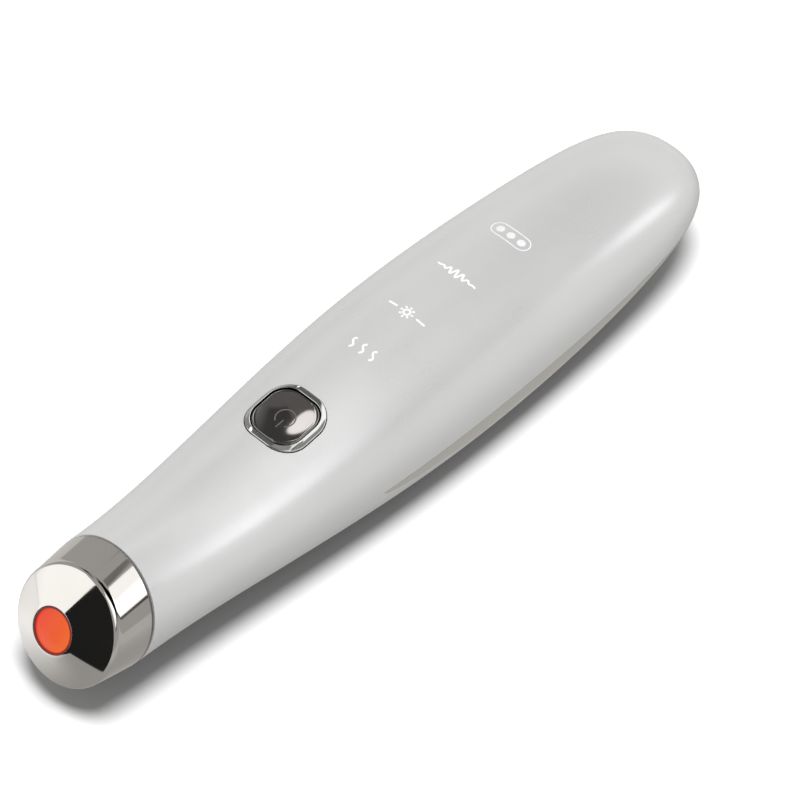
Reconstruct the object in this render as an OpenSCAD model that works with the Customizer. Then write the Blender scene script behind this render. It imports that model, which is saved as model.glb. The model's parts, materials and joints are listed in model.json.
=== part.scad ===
// Heated eye massager wand: a hand-held wand with a tilted, heated metal head,
// a red light in its tip, a vibration motor in its neck and one push button.
//
// The body runs along X with the head at the front (-X) and the tail at +X.
// It stands on the flat of its belly, at Z = 0. The two shells, the trim and
// every rib are cut from one form: a smooth tube whose half width, rise and
// drop about the parting line are Bezier curves over the body's length.

/* [Body form] */
// Length of the moulded body, from the head joint to the tail
body_len = 127; // [118:0.5:140]
// Half width of the body at its head end, which is also the head's radius
neck_r = 10; // [9:0.1:11]
// Extra half width of the grip over the neck
grip_swell = 4.9; // [3.5:0.1:6]
// How far the crest of the back stands above the neck's own rise
back_swell = 4.6; // [3.5:0.1:6]
// How far the belly hangs below the neck's own drop
belly_swell = 2.6; // [1.5:0.1:3.6]
// Depth of the flat that the wand rests on, cut into the belly
foot_cut = 1.2; // [0.8:0.05:1.3]
// Wall of both shells
wall = 1.8; // [1.4:0.1:2.2]
// Height of the lip that lines up the shells
lip_h = 1.2; // [0.8:0.1:1.8]
// Thickness of the lip that lines up the shells
lip_t = 0.8; // [0.6:0.1:1]
// Clearance between moulded pieces that fit into each other
fit_gap = 0.08; // [0.05:0.01:0.12]

/* [Trim] */
// Distance from the head joint to the trim's pointed ends
trim_start = 45; // [40:0.5:55]
// Full height of the trim strip
trim_h = 3.4; // [2.4:0.1:4.4]
// Length over which the trim grows to its full height
trim_grow = 20; // [12:1:30]
// Thickness of the trim strip
trim_t = 1.1; // [0.8:0.1:1.3]

/* [Head] */
// Tilt of the joint between the body and the head
joint_tilt = 19.5; // [14:0.5:24]
// Tilt of the head's face
face_tilt = 27.5; // [24:0.5:32]
// Distance from the joint to the shoulder of the head
collar_len = 6.3; // [5.4:0.1:7]
// Radius of the head at its shoulder
face_r = 9.4; // [9:0.1:10]
// Radius of the rounded shoulder
shoulder_r = 1; // [0.7:0.1:1.8]
// Height of the head's cone, from the start of the shoulder to the lens
cone_h = 3.8; // [3.6:0.1:4.6]
// Wall of the metal head
head_wall = 1; // [0.8:0.05:1.2]
// Thickness of the seal between the head and the body
seal_t = 0.4; // [0.3:0.05:0.6]
// Radius of the lens
lens_r = 3.3; // [2.8:0.1:3.8]
// Height of the lens's crown above the cone
lens_crown = 0.5; // [0.3:0.05:0.8]

/* [Button] */
// Distance from the head joint to the middle of the button
button_x = 38; // [35:0.5:42]
// Side of the rounded square button
button_size = 9; // [8.4:0.1:10]
// Corner radius of the button
button_corner = 3.15; // [2.4:0.05:3.8]
// Running gap between the button and its bezel
button_gap = 0.15; // [0.1:0.01:0.2]
// Width of the bezel's rim
bezel_w = 0.8; // [0.6:0.05:1]
// How far the bezel stands proud of the shell
bezel_proud = 0.15; // [0.1:0.05:0.3]
// Travel of the button
button_travel = 0.4; // [0.25:0.05:0.4]
// Depth of the dish in the button's face
dish_depth = 0.45; // [0.3:0.05:0.6]

/* [Electronics] */
// Distance from the main board's end to the tail
board_tail = 22; // [20:0.5:26]
// Width of the main board
board_w = 16.6; // [15:0.1:17]
// Thickness of the boards
board_t = 1; // [0.8:0.1:1.2]
// Height of the main board's top above the head joint's middle
board_top = 2.6; // [2.4:0.1:2.8]
// Diameter of the battery cell
cell_d = 10; // [9.5:0.1:10.4]
// Length of the battery cell
cell_len = 44; // [38:1:46]
// Diameter of the vibration motor
motor_d = 7; // [6:0.1:7.4]
// Length of the vibration motor
motor_len = 12; // [10:0.5:13]
// Diameter of the motor's shaft
shaft_d = 1; // [0.8:0.05:1.2]
// Radial clearance of the motor's shaft in its bushes
shaft_gap = 0.05; // [0.02:0.01:0.08]
// Diameter of the insulated wires
wire_d = 0.8; // [0.7:0.05:0.9]

/* [Hidden] */
ring_sides = 32;
inner_sides = 20;
head_sides = 36;
bore_sides = 28;

// Control values of the Bezier curves, evenly spaced along the body
function grown(swell, shares) = [for (s = shares) neck_r + swell * s];
half_widths = grown(grip_swell, [0, 0.14, 0.84, 1.45, 1, 0.1, 1.73]);
rises = grown(back_swell, [0, -0.26, -0.11, 0.83, 1.65, 1.35, 0.33, -0.22, 0.2]);
drops = grown(belly_swell, [0, -2.27, -0.62, 1.88, 2.15, -0.7, -3.2]);
parting_heights = [0, -2.7, -3.1, -1.6, -2.3, -3.3, 0];
// The tail closes from these shares of the length, with these powers
width_close = 0.62;
height_close = 0.75;
width_power = 2.9;
height_power = 2.5;
// Section exponents of the back and the belly: 2 is round
back_round = 2.2;
belly_round = 2.25;

function choose(n, k) = k == 0 ? 1 : choose(n, k - 1) * (n - k + 1) / k;
function total(v) = v * [for (x = v) 1];
function bezier(c, u) = let (n = len(c) - 1)
    total([for (i = [0 : n]) choose(n, i) * pow(u, i) * pow(1 - u, n - i) * c[i]]);
function steps(c) = [for (i = [1 : len(c) - 1]) (c[i] - c[i - 1]) * (len(c) - 1)];
function closing(x, share, stop, power, root) = let (start = share * body_len)
    x <= start ? 1 : pow(max(0, 1 - pow((x - start) / (stop - start), power)), root);

// The body's form, inset by t: half width, rise, drop and parting height at x
function tail_x(t) = body_len - (t > 0 ? 2 : 1) * t;
function half_width(x, t = 0) = (bezier(half_widths, x / body_len) - t)
    * closing(x, width_close, tail_x(t), width_power, 1 / back_round);
function rise(x, t = 0) = (bezier(rises, x / body_len) - t)
    * closing(x, height_close, tail_x(t), height_power, 0.5);
function drop(x, t = 0) = let (d = bezier(drops, x / body_len))
    (d - min(t, d / 2)) * closing(x, height_close, tail_x(t), height_power, 0.5);
function parting(x) = bezier(parting_heights, x / body_len);
function parting_slope(x) = atan(bezier(steps(parting_heights), x / body_len) / body_len);
function top_z(x, t = 0) = parting(x) + rise(x, t);
function bottom_z(x, t = 0) = parting(x) - drop(x, t);

// A point of a section at x: y across, v square to the parting line
function at(x, y, v) = let (a = parting_slope(x)) [x - sin(a) * v, y, parting(x) + cos(a) * v];
// Part of one ring of the form, a superellipse, from step k0 to step k1 of its sides
function power_of(c, m) = sign(c) * pow(abs(c), 2 / m);
function arc(x, t, sides, k0, k1) = let (
        blend = min(1, x / (0.2 * body_len)),
        back_m = 2 + (back_round - 2) * blend,
        belly_m = 2 + (belly_round - 2) * blend)
    [for (k = [k0 : k1]) let (
        c = cos(360 * k / sides), s = sin(360 * k / sides),
        m = k <= sides / 2 ? back_m : belly_m,
        v = (k <= sides / 2 ? rise(x, t) : drop(x, t)) * power_of(s, m))
        at(x, half_width(x, t) * power_of(c, m), v)];
function ring(x, t, sides) = arc(x, t, sides, 0, sides - 1);
// Half a ring, above (side = 1) or below (side = -1) the parting line, carried past it by over
function half_ring(x, t, sides, side, over) = let (w = half_width(x, t)) concat(
    side > 0 ? arc(x, t, sides, 0, sides / 2) : arc(x, t, sides, sides / 2, sides),
    over > 0 ? [at(x, -side * w, -side * over), at(x, side * w, -side * over)] : []);

// Faces of the skin through equal rings, each ring turning from +Y up to +Z and the
// rings following each other towards +X
function skin(count, sides) = [for (i = [0 : count - 2], k = [0 : sides - 1])
    let (n = (k + 1) % sides, a = i * sides, b = a + sides)
    each [[a + k, b + n, a + n], [a + k, b + k, b + n]]];
function front_face(sides) = [[for (k = [0 : sides - 1]) k]];
// A solid through equal rings with two flat ends
module loft(rings) {
    count = len(rings);
    sides = len(rings[0]);
    polyhedron([for (r = rings) each r], concat(front_face(sides), skin(count, sides),
        [[for (k = [sides - 1 : -1 : 0]) (count - 1) * sides + k]]), convexity = 6);
}
// The same, but with its far end drawn to a point
module loft_to_point(rings, point) {
    count = len(rings);
    sides = len(rings[0]);
    last = (count - 1) * sides;
    polyhedron([for (r = rings) each r, point], concat(front_face(sides), skin(count, sides),
        [for (k = [0 : sides - 1]) [last + k, last + sides, last + (k + 1) % sides]]),
        convexity = 6);
}
function turned(v) = [for (i = [len(v) - 1 : -1 : 0]) v[i]];

// The body's form, inset by t, carried straight on over the joint by its neck
neck_over = 8;
tail_flat = 0.25;
outer_shares = [0, 0.035, 0.08, 0.14, 0.2, 0.27, 0.34, 0.41, 0.48, 0.55, 0.62, 0.69, 0.76,
    0.82, 0.87, 0.91, 0.945, 0.97, 0.988];
inner_shares = [0, 0.035, 0.08, 0.16, 0.27, 0.41, 0.55, 0.69, 0.82, 0.91, 0.97];
neck_axis = [-cos(parting_slope(0)), 0, -sin(parting_slope(0))];
function pushed(points, over = 0) = [for (p = points) p + (neck_over + over) * neck_axis];
function shares(t) = t > 0.5 ? inner_shares : outer_shares;
function form_x(t) = concat([for (u = shares(t)) u * tail_x(t)], [tail_x(t) - tail_flat]);
module half_form(t, side, over = 0) {
    sides = t > 0.5 ? inner_sides : ring_sides;
    rings = [for (x = form_x(t)) half_ring(x, t, sides, side, over)];
    loft_to_point(concat([pushed(rings[0], over)], rings),
        [tail_x(t), 0, parting(tail_x(t))]);
}
// The form's first stretch alone, for what fits the neck
neck_len = 10;
module neck_form(t, sides = ring_sides) {
    rings = [for (u = [0, 0.2, 0.45, 0.7, 1]) ring(u * neck_len, t, sides)];
    loft(concat([pushed(rings[0])], rings));
}
// A band of the form's width, inset by t, from low to high about the parting line
module band_form(t, low, high, x0, x1) loft([for (i = [0 : band_steps]) let (
        x = x0 + (x1 - x0) * i / band_steps, w = half_width(x, t))
    [at(x, w, low), at(x, w, high), at(x, -w, high), at(x, -w, low)]]);
band_steps = 18;

// Side view regions, drawn in X and Z and carried across the body
module across(half = 20) rotate([90, 0, 0]) linear_extrude(2 * half, center = true) children();
function parting_at(x) = parting(min(x, body_len));

// Everything behind the joint plane, moved back by gap
module behind_joint(gap = 0) rotate([0, joint_tilt, 0])
    translate([gap, -40, -40]) cube([200, 80, 80]);
module before_joint(gap = 0) rotate([0, joint_tilt, 0])
    translate([-200 - gap, -40, -40]) cube([200, 80, 80]);

// Band of the trim in side view, grown by extra
trim_tip = 0.3;
function trim_height(x) = trim_h * sqrt(max(0, min(1, (x - trim_start) / trim_grow)));
trim_steps = 14;
trim_x = [for (i = [0 : trim_steps])
    trim_start + (body_len + 4 - trim_start) * pow(i / trim_steps, 1.5)];
module trim_band(extra = 0) across()
    polygon(concat([for (x = trim_x) [x - extra, parting_at(x) + extra]],
        [for (i = [trim_steps : -1 : 0]) [trim_x[i] - extra, parting_at(trim_x[i])
            - max(trim_tip, trim_height(trim_x[i])) - extra]]));

// The head's profile from its shoulder to the land round the lens's seal
lens_seal_t = 0.3;
cone_land = 0.12;
cone_tip = lens_r + lens_seal_t + cone_land;
cone_fall = face_r - shoulder_r - cone_tip;
// The shoulder turns until the cone leaves it in its own direction
shoulder_turn = 90 + atan(cone_fall / cone_h) - acos(shoulder_r / norm([cone_h, cone_fall]));
function face_profile() = concat(
    [for (i = [1 : 4]) let (a = shoulder_turn * i / 4)
        [shoulder_r * sin(a), face_r - shoulder_r * (1 - cos(a))]],
    [[cone_h, cone_tip]]);

// The whole wand is moved so that its box is centred over the origin
face_lift = 0.6;
lens_rise = lens_crown + 0.2;
lens_ball = (lens_r * lens_r + lens_rise * lens_rise) / (2 * lens_rise);
cap_reach = collar_len + max([for (q = concat(face_profile(),
        [for (a = [0 : 1 : asin(lens_r / lens_ball)]) [cone_h + lens_crown
            - lens_ball * (1 - cos(a)), lens_ball * sin(a)]]))
    cos(face_tilt) * q[0] + sin(face_tilt) * q[1]]);
mid_x = (body_len - cap_reach) / 2;
belly_z = min([for (x = [body_len * 0.4 : 1 : body_len * 0.8]) bottom_z(x)]);
foot_z = belly_z + foot_cut;
module placed() translate([-mid_x, 0, -foot_z]) children();
module below_foot() translate([-40, -40, foot_z - 80]) cube([240, 80, 80]);

// The head's own frame: Z runs out of the face, from the shoulder's centre
module on_face() translate([-collar_len, 0, face_lift])
    rotate([0, -90 + face_tilt, 0]) children();

// Rings of the collar, from the joint (t = 0) to the shoulder (t = 1)
joint_rise = neck_r / cos(joint_tilt + parting_slope(0));
function collar_ring(t, inset, sides) = let (
        tilt = joint_tilt + (face_tilt - joint_tilt) * t,
        across_r = neck_r + (face_r - neck_r) * t - inset,
        up_r = joint_rise + (face_r - joint_rise) * t - inset)
    [for (k = [0 : sides - 1]) let (c = cos(360 * k / sides), s = sin(360 * k / sides))
        [-collar_len * t + sin(tilt) * up_r * s, across_r * c, face_lift * t + cos(tilt) * up_r * s]];
// A ring about the face's axis, h above the shoulder's centre
function face_ring(h, r, sides) = [for (k = [0 : sides - 1]) let (
        c = cos(360 * k / sides), s = sin(360 * k / sides))
    [-collar_len - cos(face_tilt) * h + sin(face_tilt) * r * s, r * c,
     face_lift + sin(face_tilt) * h + cos(face_tilt) * r * s]];
// The collar's inside, inset from its skin, up to a flat floor on the face's axis
module collar_form(inset, from, floor) loft(turned(concat(
    [for (i = [0 : 5]) collar_ring(from + (1 - from) * i / 5, inset, bore_sides)],
    [face_ring(floor, face_r - inset, bore_sides)])));
module along_neck(r, x0, x1) rotate([0, 90 + parting_slope(0), 0])
    translate([0, 0, x0]) cylinder(r = r, h = x1 - x0, $fn = 64);

// Sizes that several pieces share; cutters run past what they cut by this much
past = 1;
seal_inset = 0.25;
lip_step = 0.1;
lip_x0 = 6;
lip_x1 = body_len - 8;
face_floor = 0.2;
seat_depth = 1.4;
lens_seat = cone_h - seat_depth;
lens_flange = 0.8;
lens_play = 0.1;
heater_t = 0.9;
heater_gap = 0.5;
heater_ring = 1.2;
sensor = [1.6, 2, 1];
sensor_r = 6.2;
sensor_gap = 0.05;
led_board_top = face_floor - heater_t - sensor[2] - 2 * sensor_gap;
led_board_gap = 1.4;
led_r = 1.5;
led_rim = 0.4;
led_rim_t = 0.6;
led_body = 1.6;
carrier_end = 4.5;
carrier_bore = 4.6;
bush_len = 1.5;
bush_d = 2.8;
weight_x = 5;
film_t = 0.4;
icon_w = 5.8;
icon_h = 9.6;
icon_end = 3.8;
dot_w = 2.8;
dot_h = 1.9;
charge_end = 2.2;
mask_w = 11.2;
mask_drop = 1.4;
screw_len = 5;
screw_head_d = 3;
screw_head_h = 0.9;
screw_short = 0.2;
screw_bite = 0.02;
screw_play = 0.4;
board_x = button_x - 11;
board_len = body_len - board_tail - board_x;
board_z = board_top - board_t;
cell_z = belly_z + wall + 2.1 + cell_d / 2;
cell_tail = 32;
cell_x = body_len - cell_tail - cell_len;
cell_end = 0.3;
pad_w = 6;
pad_inset = 9;
motor_z = parting(14);
motor_x = 9;
motor_ribs = [motor_x + 3, motor_x + motor_len - 2];
sleeve_t = 1;
weight_r = 2.7;
weight_len = 3.2;
post_d = 4;
screw_d = 1.6;
post_x = [board_x + 21, board_x + board_len - 7];
post_y = board_w / 2 - 2.4;
switch_w = 5.2;
switch_h = 1.6;
switch_floor = 0.2;
switch_gap = 0.1;
plunger_d = 3;
plunger_gap = 0.05;
flange_w = 0.5;
flange_gap = 0.05;
cap_sunk = 0.1;
flange_t = 0.8;
dish_ball = (pow(button_size / 2, 2) + pow(dish_depth, 2)) / (2 * dish_depth);
button_floor = board_top + 0.5;
flange_top = board_top + switch_h + switch_gap + button_travel + flange_t;
plunger_low = board_top + switch_floor + switch_gap + button_travel;
button_slope = atan((top_z(button_x + 4) - top_z(button_x - 4)) / 8);
// The marks and lights lie at these shares of the way from the button to the tail
back_run = body_len - button_x;
icon_x = [for (u = [0.185, 0.292, 0.416]) button_x + u * back_run];
charge_x = button_x + 0.554 * back_run;
charge_y = [-2.8, 0, 2.8];
mode_led = [1.6, 2.4, 0.8];
charge_led = [1.2, 1, 0.8];
controller = [6, 6, 1];
driver = [3.5, 4, 1.2];
driver_y = 2;
charger = [4, 5, 1];
chip_edge = 4;
chip_gap = 1;
driver_gap = 2.5;
film_z = top_z(icon_x[0] - icon_end) - wall - film_t - mask_drop;
port_w = 7.5;
port_h = 2.6;
port_len = 5.4;
port_tail = 17;
port_x = body_len - port_tail;
port_inset = 0.35;
port_wall = 0.3;
port_play = 0.5;
port_floor = 0.6;
tongue_t = 0.6;
tongue_gap = 1.6;
port_mouth = bottom_z(port_x) + port_inset;
port_top = port_mouth + port_len;
port_board_w = 10;
port_board_x = [port_x - 6, port_x + 7];
port_ribs = [port_x - 4.4, port_x + 5.4];
rib_t = 1.2;
rib_open = 1.5;
cell_ribs = [cell_x + 5, cell_x + cell_len / 2, cell_x + cell_len - 5];

module rounded_square(size, r) {
    square([size - 2 * r, size], center = true);
    square([size, size - 2 * r], center = true);
    for (x = [-1, 1], y = [-1, 1])
        translate([x * (size / 2 - r), y * (size / 2 - r)]) circle(r, $fn = 48);
}
module button_prism(grow, low, high) translate([button_x, 0, low])
    linear_extrude(high - low)
        rounded_square(button_size + 2 * grow, button_corner + grow);
module along_x(d, x0, x1, z, y = 0) translate([x0, y, z]) rotate([0, 90, 0])
    cylinder(d = d, h = x1 - x0, $fn = 48);
module port_slot() translate([port_x, 0, port_mouth - port_len])
    linear_extrude(2 * port_len) square([port_h + port_play, port_w + port_play], center = true);

// A cross rib of a shell, before it's cut to the form's inside
module rib(x, low, high) translate([x - rib_t / 2, -20, low]) cube([rib_t, 40, high - low]);
module motor_seat() along_x(motor_d + 2 * sleeve_t, motor_x, motor_x + motor_len, motor_z);

// ---- Shells and trim ----
module upper_shell() color([0.85, 0.85, 0.84]) placed() difference() {
    half_form(0, 1);
    difference() {
        half_form(wall, 1, 1);
        // Ribs that hold the motor's sleeve, and posts for the main board's screws
        for (x = motor_ribs) rib(x, motor_z + rib_open, 20);
        for (x = post_x, y = [-post_y, post_y]) translate([x, y, board_top])
            cylinder(d = post_d, h = 20, $fn = 32);
    }
    // Rebate for the lower shell's lip
    band_form(wall - lip_t - fit_gap, -1, lip_h + fit_gap, lip_x0 - fit_gap, lip_x1 + fit_gap);
    before_joint(-seal_t);
    button_prism(button_gap + bezel_w + fit_gap, button_floor, 20);
    motor_seat();
    for (x = post_x, y = [-post_y, post_y]) translate([x, y, board_top - past])
        cylinder(d = screw_d, h = screw_len, $fn = 32);
}

module lower_shell() color([0.83, 0.83, 0.82]) placed() difference() {
    union() {
        difference() {
            half_form(0, -1);
            difference() {
                half_form(wall, -1, 1);
                // Ribs of the motor, the battery cell and the port's board
                for (x = motor_ribs) rib(x, -20, motor_z - rib_open);
                for (x = cell_ribs) rib(x, -20, cell_z + 1);
                for (x = port_ribs) rib(x, -20, port_top);
            }
        }
        // Lip that lines up the shells
        difference() {
            band_form(wall - lip_t, -1, lip_h, lip_x0, lip_x1);
            band_form(wall + lip_step, -2, lip_h + 1, lip_x0 - 1, lip_x1 + 1);
        }
    }
    // Pocket of the trim strip
    difference() {
        trim_band(fit_gap);
        half_form(trim_t + fit_gap, -1, 2);
    }
    before_joint(-seal_t);
    below_foot();
    motor_seat();
    along_x(cell_d + 2 * fit_gap, cell_x, cell_x + cell_len, cell_z);
    port_slot();
}

module trim_strip() color([0.62, 0.6, 0.55]) placed() difference() {
    intersection() {
        half_form(0, -1);
        trim_band();
    }
    half_form(trim_t, -1, 1);
}

// ---- Head ----
module head_cap() color([0.75, 0.74, 0.72]) placed() difference() {
    loft(turned(concat([for (i = [0 : 5]) collar_ring(i / 5, 0, head_sides)],
        [for (p = face_profile()) face_ring(p[0], p[1], head_sides)])));
    collar_form(head_wall, -0.2, face_floor);
    on_face() {
        cylinder(r = lens_r + lens_flange + lens_play, h = lens_seat, $fn = 64);
        cylinder(r = lens_r + lens_seal_t, h = cone_h + 2, $fn = 64);
    }
}
module head_seal() color([0.2, 0.2, 0.2]) placed() difference() {
    intersection() {
        neck_form(seal_inset);
        before_joint(-seal_t);
        behind_joint();
    }
    along_neck(neck_r - wall, -20, 20);
}
module lens() color([1, 0.25, 0.15]) placed() on_face() {
    translate([0, 0, lens_seat - lens_flange])
        cylinder(r = lens_r + lens_flange, h = lens_flange, $fn = 64);
    intersection() {
        translate([0, 0, lens_seat - lens_flange]) cylinder(r = lens_r, h = cone_h, $fn = 64);
        translate([0, 0, cone_h + lens_crown - lens_ball]) sphere(lens_ball, $fn = 96);
    }
}
module lens_seal() color([0.35, 0.05, 0.04]) placed() on_face()
    translate([0, 0, lens_seat]) difference() {
        cylinder(r = lens_r + lens_seal_t, h = cone_h - lens_seat + 0.05, $fn = 64);
        translate([0, 0, -1]) cylinder(r = lens_r, h = 6, $fn = 64);
    }
module heater_disc() color([0.75, 0.5, 0.2]) placed() on_face()
    translate([0, 0, face_floor - heater_t]) difference() {
        cylinder(r = face_r - head_wall - heater_gap, h = heater_t, $fn = 64);
        translate([0, 0, -past])
            cylinder(r = lens_r + heater_ring, h = heater_t + 2 * past, $fn = 64);
    }
module temperature_sensor() color([0.1, 0.1, 0.1]) placed() on_face()
    translate([sensor_r - sensor[0] / 2, -sensor[1] / 2, led_board_top + sensor_gap])
        cube(sensor);
module led_board() color([0.15, 0.4, 0.2]) placed() on_face()
    translate([0, 0, led_board_top - board_t])
        cylinder(r = face_r - head_wall - led_board_gap, h = board_t, $fn = 64);
module red_led() color([0.9, 0.2, 0.15]) placed() on_face()
    translate([0, 0, led_board_top]) {
        cylinder(r = led_r + led_rim, h = led_rim_t, $fn = 32);
        cylinder(r = led_r, h = led_body, $fn = 32);
        translate([0, 0, led_body]) sphere(led_r, $fn = 32);
    }
module head_carrier() color([0.3, 0.3, 0.32]) placed() difference() {
    union() {
        intersection() {
            collar_form(head_wall + fit_gap, -0.2, -0.1);
            before_joint(0.02);
        }
        intersection() {
            neck_form(wall + fit_gap, inner_sides);
            behind_joint(-0.1);
            translate([carrier_end - 40, -20, -20]) cube(40);
        }
    }
    on_face() translate([0, 0, led_board_top - board_t])
        cylinder(r = 20, h = 20);
    on_face() translate([0, 0, led_board_top - board_t - 8])
        cylinder(r = carrier_bore, h = 9, $fn = 64);
    along_neck(carrier_bore, -4, 20);
}

// ---- Vibration motor ----
module motor_can() color([0.7, 0.7, 0.72]) placed() difference() {
    along_x(motor_d, motor_x, motor_x + motor_len, motor_z);
    along_x(shaft_d + 0.6, motor_x - 1, motor_x + motor_len + 1, motor_z);
    for (x = [motor_x, motor_x + motor_len - bush_len])
        along_x(bush_d, x, x + bush_len, motor_z);
}
module motor_bushes() color([0.72, 0.5, 0.25]) placed()
    for (x = [motor_x, motor_x + motor_len - bush_len]) difference() {
        along_x(bush_d, x, x + bush_len, motor_z);
        along_x(shaft_d + 2 * shaft_gap, x - 1, x + bush_len + 1, motor_z);
    }
module motor_sleeve() color([0.15, 0.15, 0.16]) placed() difference() {
    along_x(motor_d + 2 * sleeve_t - 0.04, motor_x + 1, motor_x + motor_len - 1, motor_z);
    along_x(motor_d, motor_x, motor_x + motor_len, motor_z);
}
module motor_shaft() color([0.85, 0.85, 0.87]) placed()
    along_x(shaft_d, weight_x, motor_x + motor_len - 0.2, motor_z);
module eccentric_weight() color([0.5, 0.5, 0.52]) placed() difference() {
    union() {
        along_x(shaft_d + 1.2, weight_x + 0.1, weight_x + 0.1 + weight_len, motor_z);
        intersection() {
            along_x(2 * weight_r, weight_x + 0.1, weight_x + 0.1 + weight_len, motor_z);
            translate([weight_x, -10, motor_z - 10]) cube([weight_len + 1, 20, 10]);
        }
    }
    along_x(shaft_d, weight_x - 1, motor_x, motor_z);
}

// ---- Button ----
// Everything over the button's sloping face, raised by lift
module over_button(lift) translate([button_x, 0, top_z(button_x) + lift])
    rotate([0, -button_slope, 0]) translate([-15, -15, 0]) cube(30);
module button_bezel() color([0.8, 0.8, 0.8]) placed() difference() {
    button_prism(button_gap + bezel_w, flange_top + flange_gap, 20);
    button_prism(button_gap, 0, 21);
    over_button(bezel_proud);
}
module button_cap() color([0.13, 0.13, 0.14]) placed() {
    difference() {
        button_prism(0, flange_top - flange_t, 20);
        over_button(bezel_proud - cap_sunk);
        translate([button_x, 0, top_z(button_x) + bezel_proud - cap_sunk])
            rotate([0, -button_slope, 0]) translate([0, 0, dish_ball - dish_depth])
                sphere(dish_ball, $fn = 96);
    }
    button_prism(flange_w, flange_top - flange_t, flange_top);
}
module tact_switch() color([0.2, 0.2, 0.22]) placed() difference() {
    translate([button_x - switch_w / 2, -switch_w / 2, board_top])
        cube([switch_w, switch_w, switch_h]);
    translate([button_x, 0, board_top + switch_floor])
        cylinder(d = plunger_d + 2 * plunger_gap, h = switch_h, $fn = 48);
}
module switch_plunger() color([0.1, 0.1, 0.1]) placed()
    translate([button_x, 0, plunger_low])
        cylinder(d = plunger_d, h = flange_top - flange_t - plunger_low, $fn = 48);

// ---- Electronics ----
module main_board() color([0.12, 0.38, 0.2]) placed() difference() {
    translate([board_x, -board_w / 2, board_z]) cube([board_len, board_w, board_t]);
    for (x = post_x, y = [-post_y, post_y]) translate([x, y, board_z - past])
        cylinder(d = screw_d + screw_play, h = board_t + 2 * past, $fn = 32);
}
module control_chips() color([0.08, 0.08, 0.09]) placed() {
    translate([board_x + chip_edge, -controller[1] / 2, board_z - controller[2]])
        cube(controller);
    for (y = [driver_y, -driver_y - driver[1]])
        translate([board_x + chip_edge + controller[0] + driver_gap, y, board_z - driver[2]])
            cube(driver);
    translate([charge_x + charge_end + chip_gap, -charger[1] / 2, board_top]) cube(charger);
}
module mode_leds() color([0.95, 0.95, 0.85]) placed()
    for (x = icon_x) translate([x - mode_led[0] / 2, -mode_led[1] / 2, board_top])
        cube(mode_led);
module charge_leds() color([0.9, 0.95, 0.85]) placed()
    for (y = charge_y)
        translate([charge_x - charge_led[0] / 2, y - charge_led[1] / 2, board_top])
            cube(charge_led);
module light_window(x, y, w, h) translate([x - w / 2, y - h / 2, board_top - past])
    cube([w, h, film_z - board_top + 2 * past]);
module icon_light_mask() color([0.1, 0.1, 0.1]) placed() difference() {
    translate([icon_x[0] - icon_end, -mask_w / 2, board_top])
        cube([icon_x[2] - icon_x[0] + 2 * icon_end, mask_w, film_z - board_top]);
    for (x = icon_x) light_window(x, 0, icon_w, icon_h);
}
module charge_light_mask() color([0.1, 0.1, 0.1]) placed() difference() {
    translate([charge_x - charge_end, -mask_w / 2, board_top])
        cube([2 * charge_end, mask_w, film_z - board_top]);
    for (y = charge_y) light_window(charge_x, y, dot_w, dot_h);
}
module diffuser_film() color([0.95, 0.95, 0.92]) placed()
    translate([icon_x[0] - icon_end, -mask_w / 2, film_z])
        cube([charge_x + charge_end - icon_x[0] + icon_end, mask_w, film_t]);
module board_screws() color([0.75, 0.75, 0.76]) placed()
    for (x = post_x, y = [-post_y, post_y]) translate([x, y, 0]) {
        translate([0, 0, board_z - screw_head_h])
            cylinder(d = screw_head_d, h = screw_head_h, $fn = 32);
        translate([0, 0, board_z - screw_head_h / 2]) cylinder(d = screw_d - screw_bite,
            h = screw_head_h / 2 + board_t + screw_len - past - screw_short, $fn = 32);
    }
module battery_cell() color([0.2, 0.35, 0.6]) placed() {
    along_x(cell_d, cell_x + cell_end, cell_x + cell_len - cell_end, cell_z);
    along_x(cell_d * 0.4, cell_x - cell_end, cell_x + cell_len / 2, cell_z);
}
module battery_pads() color([0.35, 0.35, 0.36]) placed()
    for (x = [cell_x + pad_inset, cell_x + cell_len - pad_inset - pad_w])
        translate([x, -pad_w / 2, cell_z + cell_d / 2])
            cube([pad_w, pad_w, board_z - cell_z - cell_d / 2]);
module port_board() color([0.12, 0.38, 0.2]) placed()
    translate([port_board_x[0], -port_board_w / 2, port_top])
        cube([port_board_x[1] - port_board_x[0], port_board_w, board_t]);
module charge_port() color([0.75, 0.75, 0.77]) placed() difference() {
    translate([port_x - port_h / 2, -port_w / 2, port_mouth]) cube([port_h, port_w, port_len]);
    difference() {
        translate([port_x - port_h / 2 + port_wall, -port_w / 2 + port_wall, port_mouth - past])
            cube([port_h - 2 * port_wall, port_w - 2 * port_wall,
                port_len + past - port_floor]);
        translate([port_x - tongue_t / 2, -port_w / 2 + tongue_gap, port_mouth + past])
            cube([tongue_t, port_w - 2 * tongue_gap, port_len]);
    }
}

// ---- Wires: a tube of six sides along a hand-set route ----
function unit(v) = v / norm(v);
function along(p, i) = unit(p[min(i + 1, len(p) - 1)] - p[max(i - 1, 0)]);
module wire(p) loft([for (i = [0 : len(p) - 1]) let (
        d = along(p, i), side = unit(cross(d, [0, 1, 0])), up = cross(side, d))
    [for (k = [0 : 5]) p[i] + wire_d / 2 * (cos(60 * k) * side - sin(60 * k) * up)]]);
function mirrored(p) = [for (q = p) [q[0], -q[1], q[2]]];
board_edge = board_x - 0.2;
board_mid = board_z + board_t / 2;
board_end = board_x + board_len;
motor_end = motor_x + motor_len;
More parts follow.
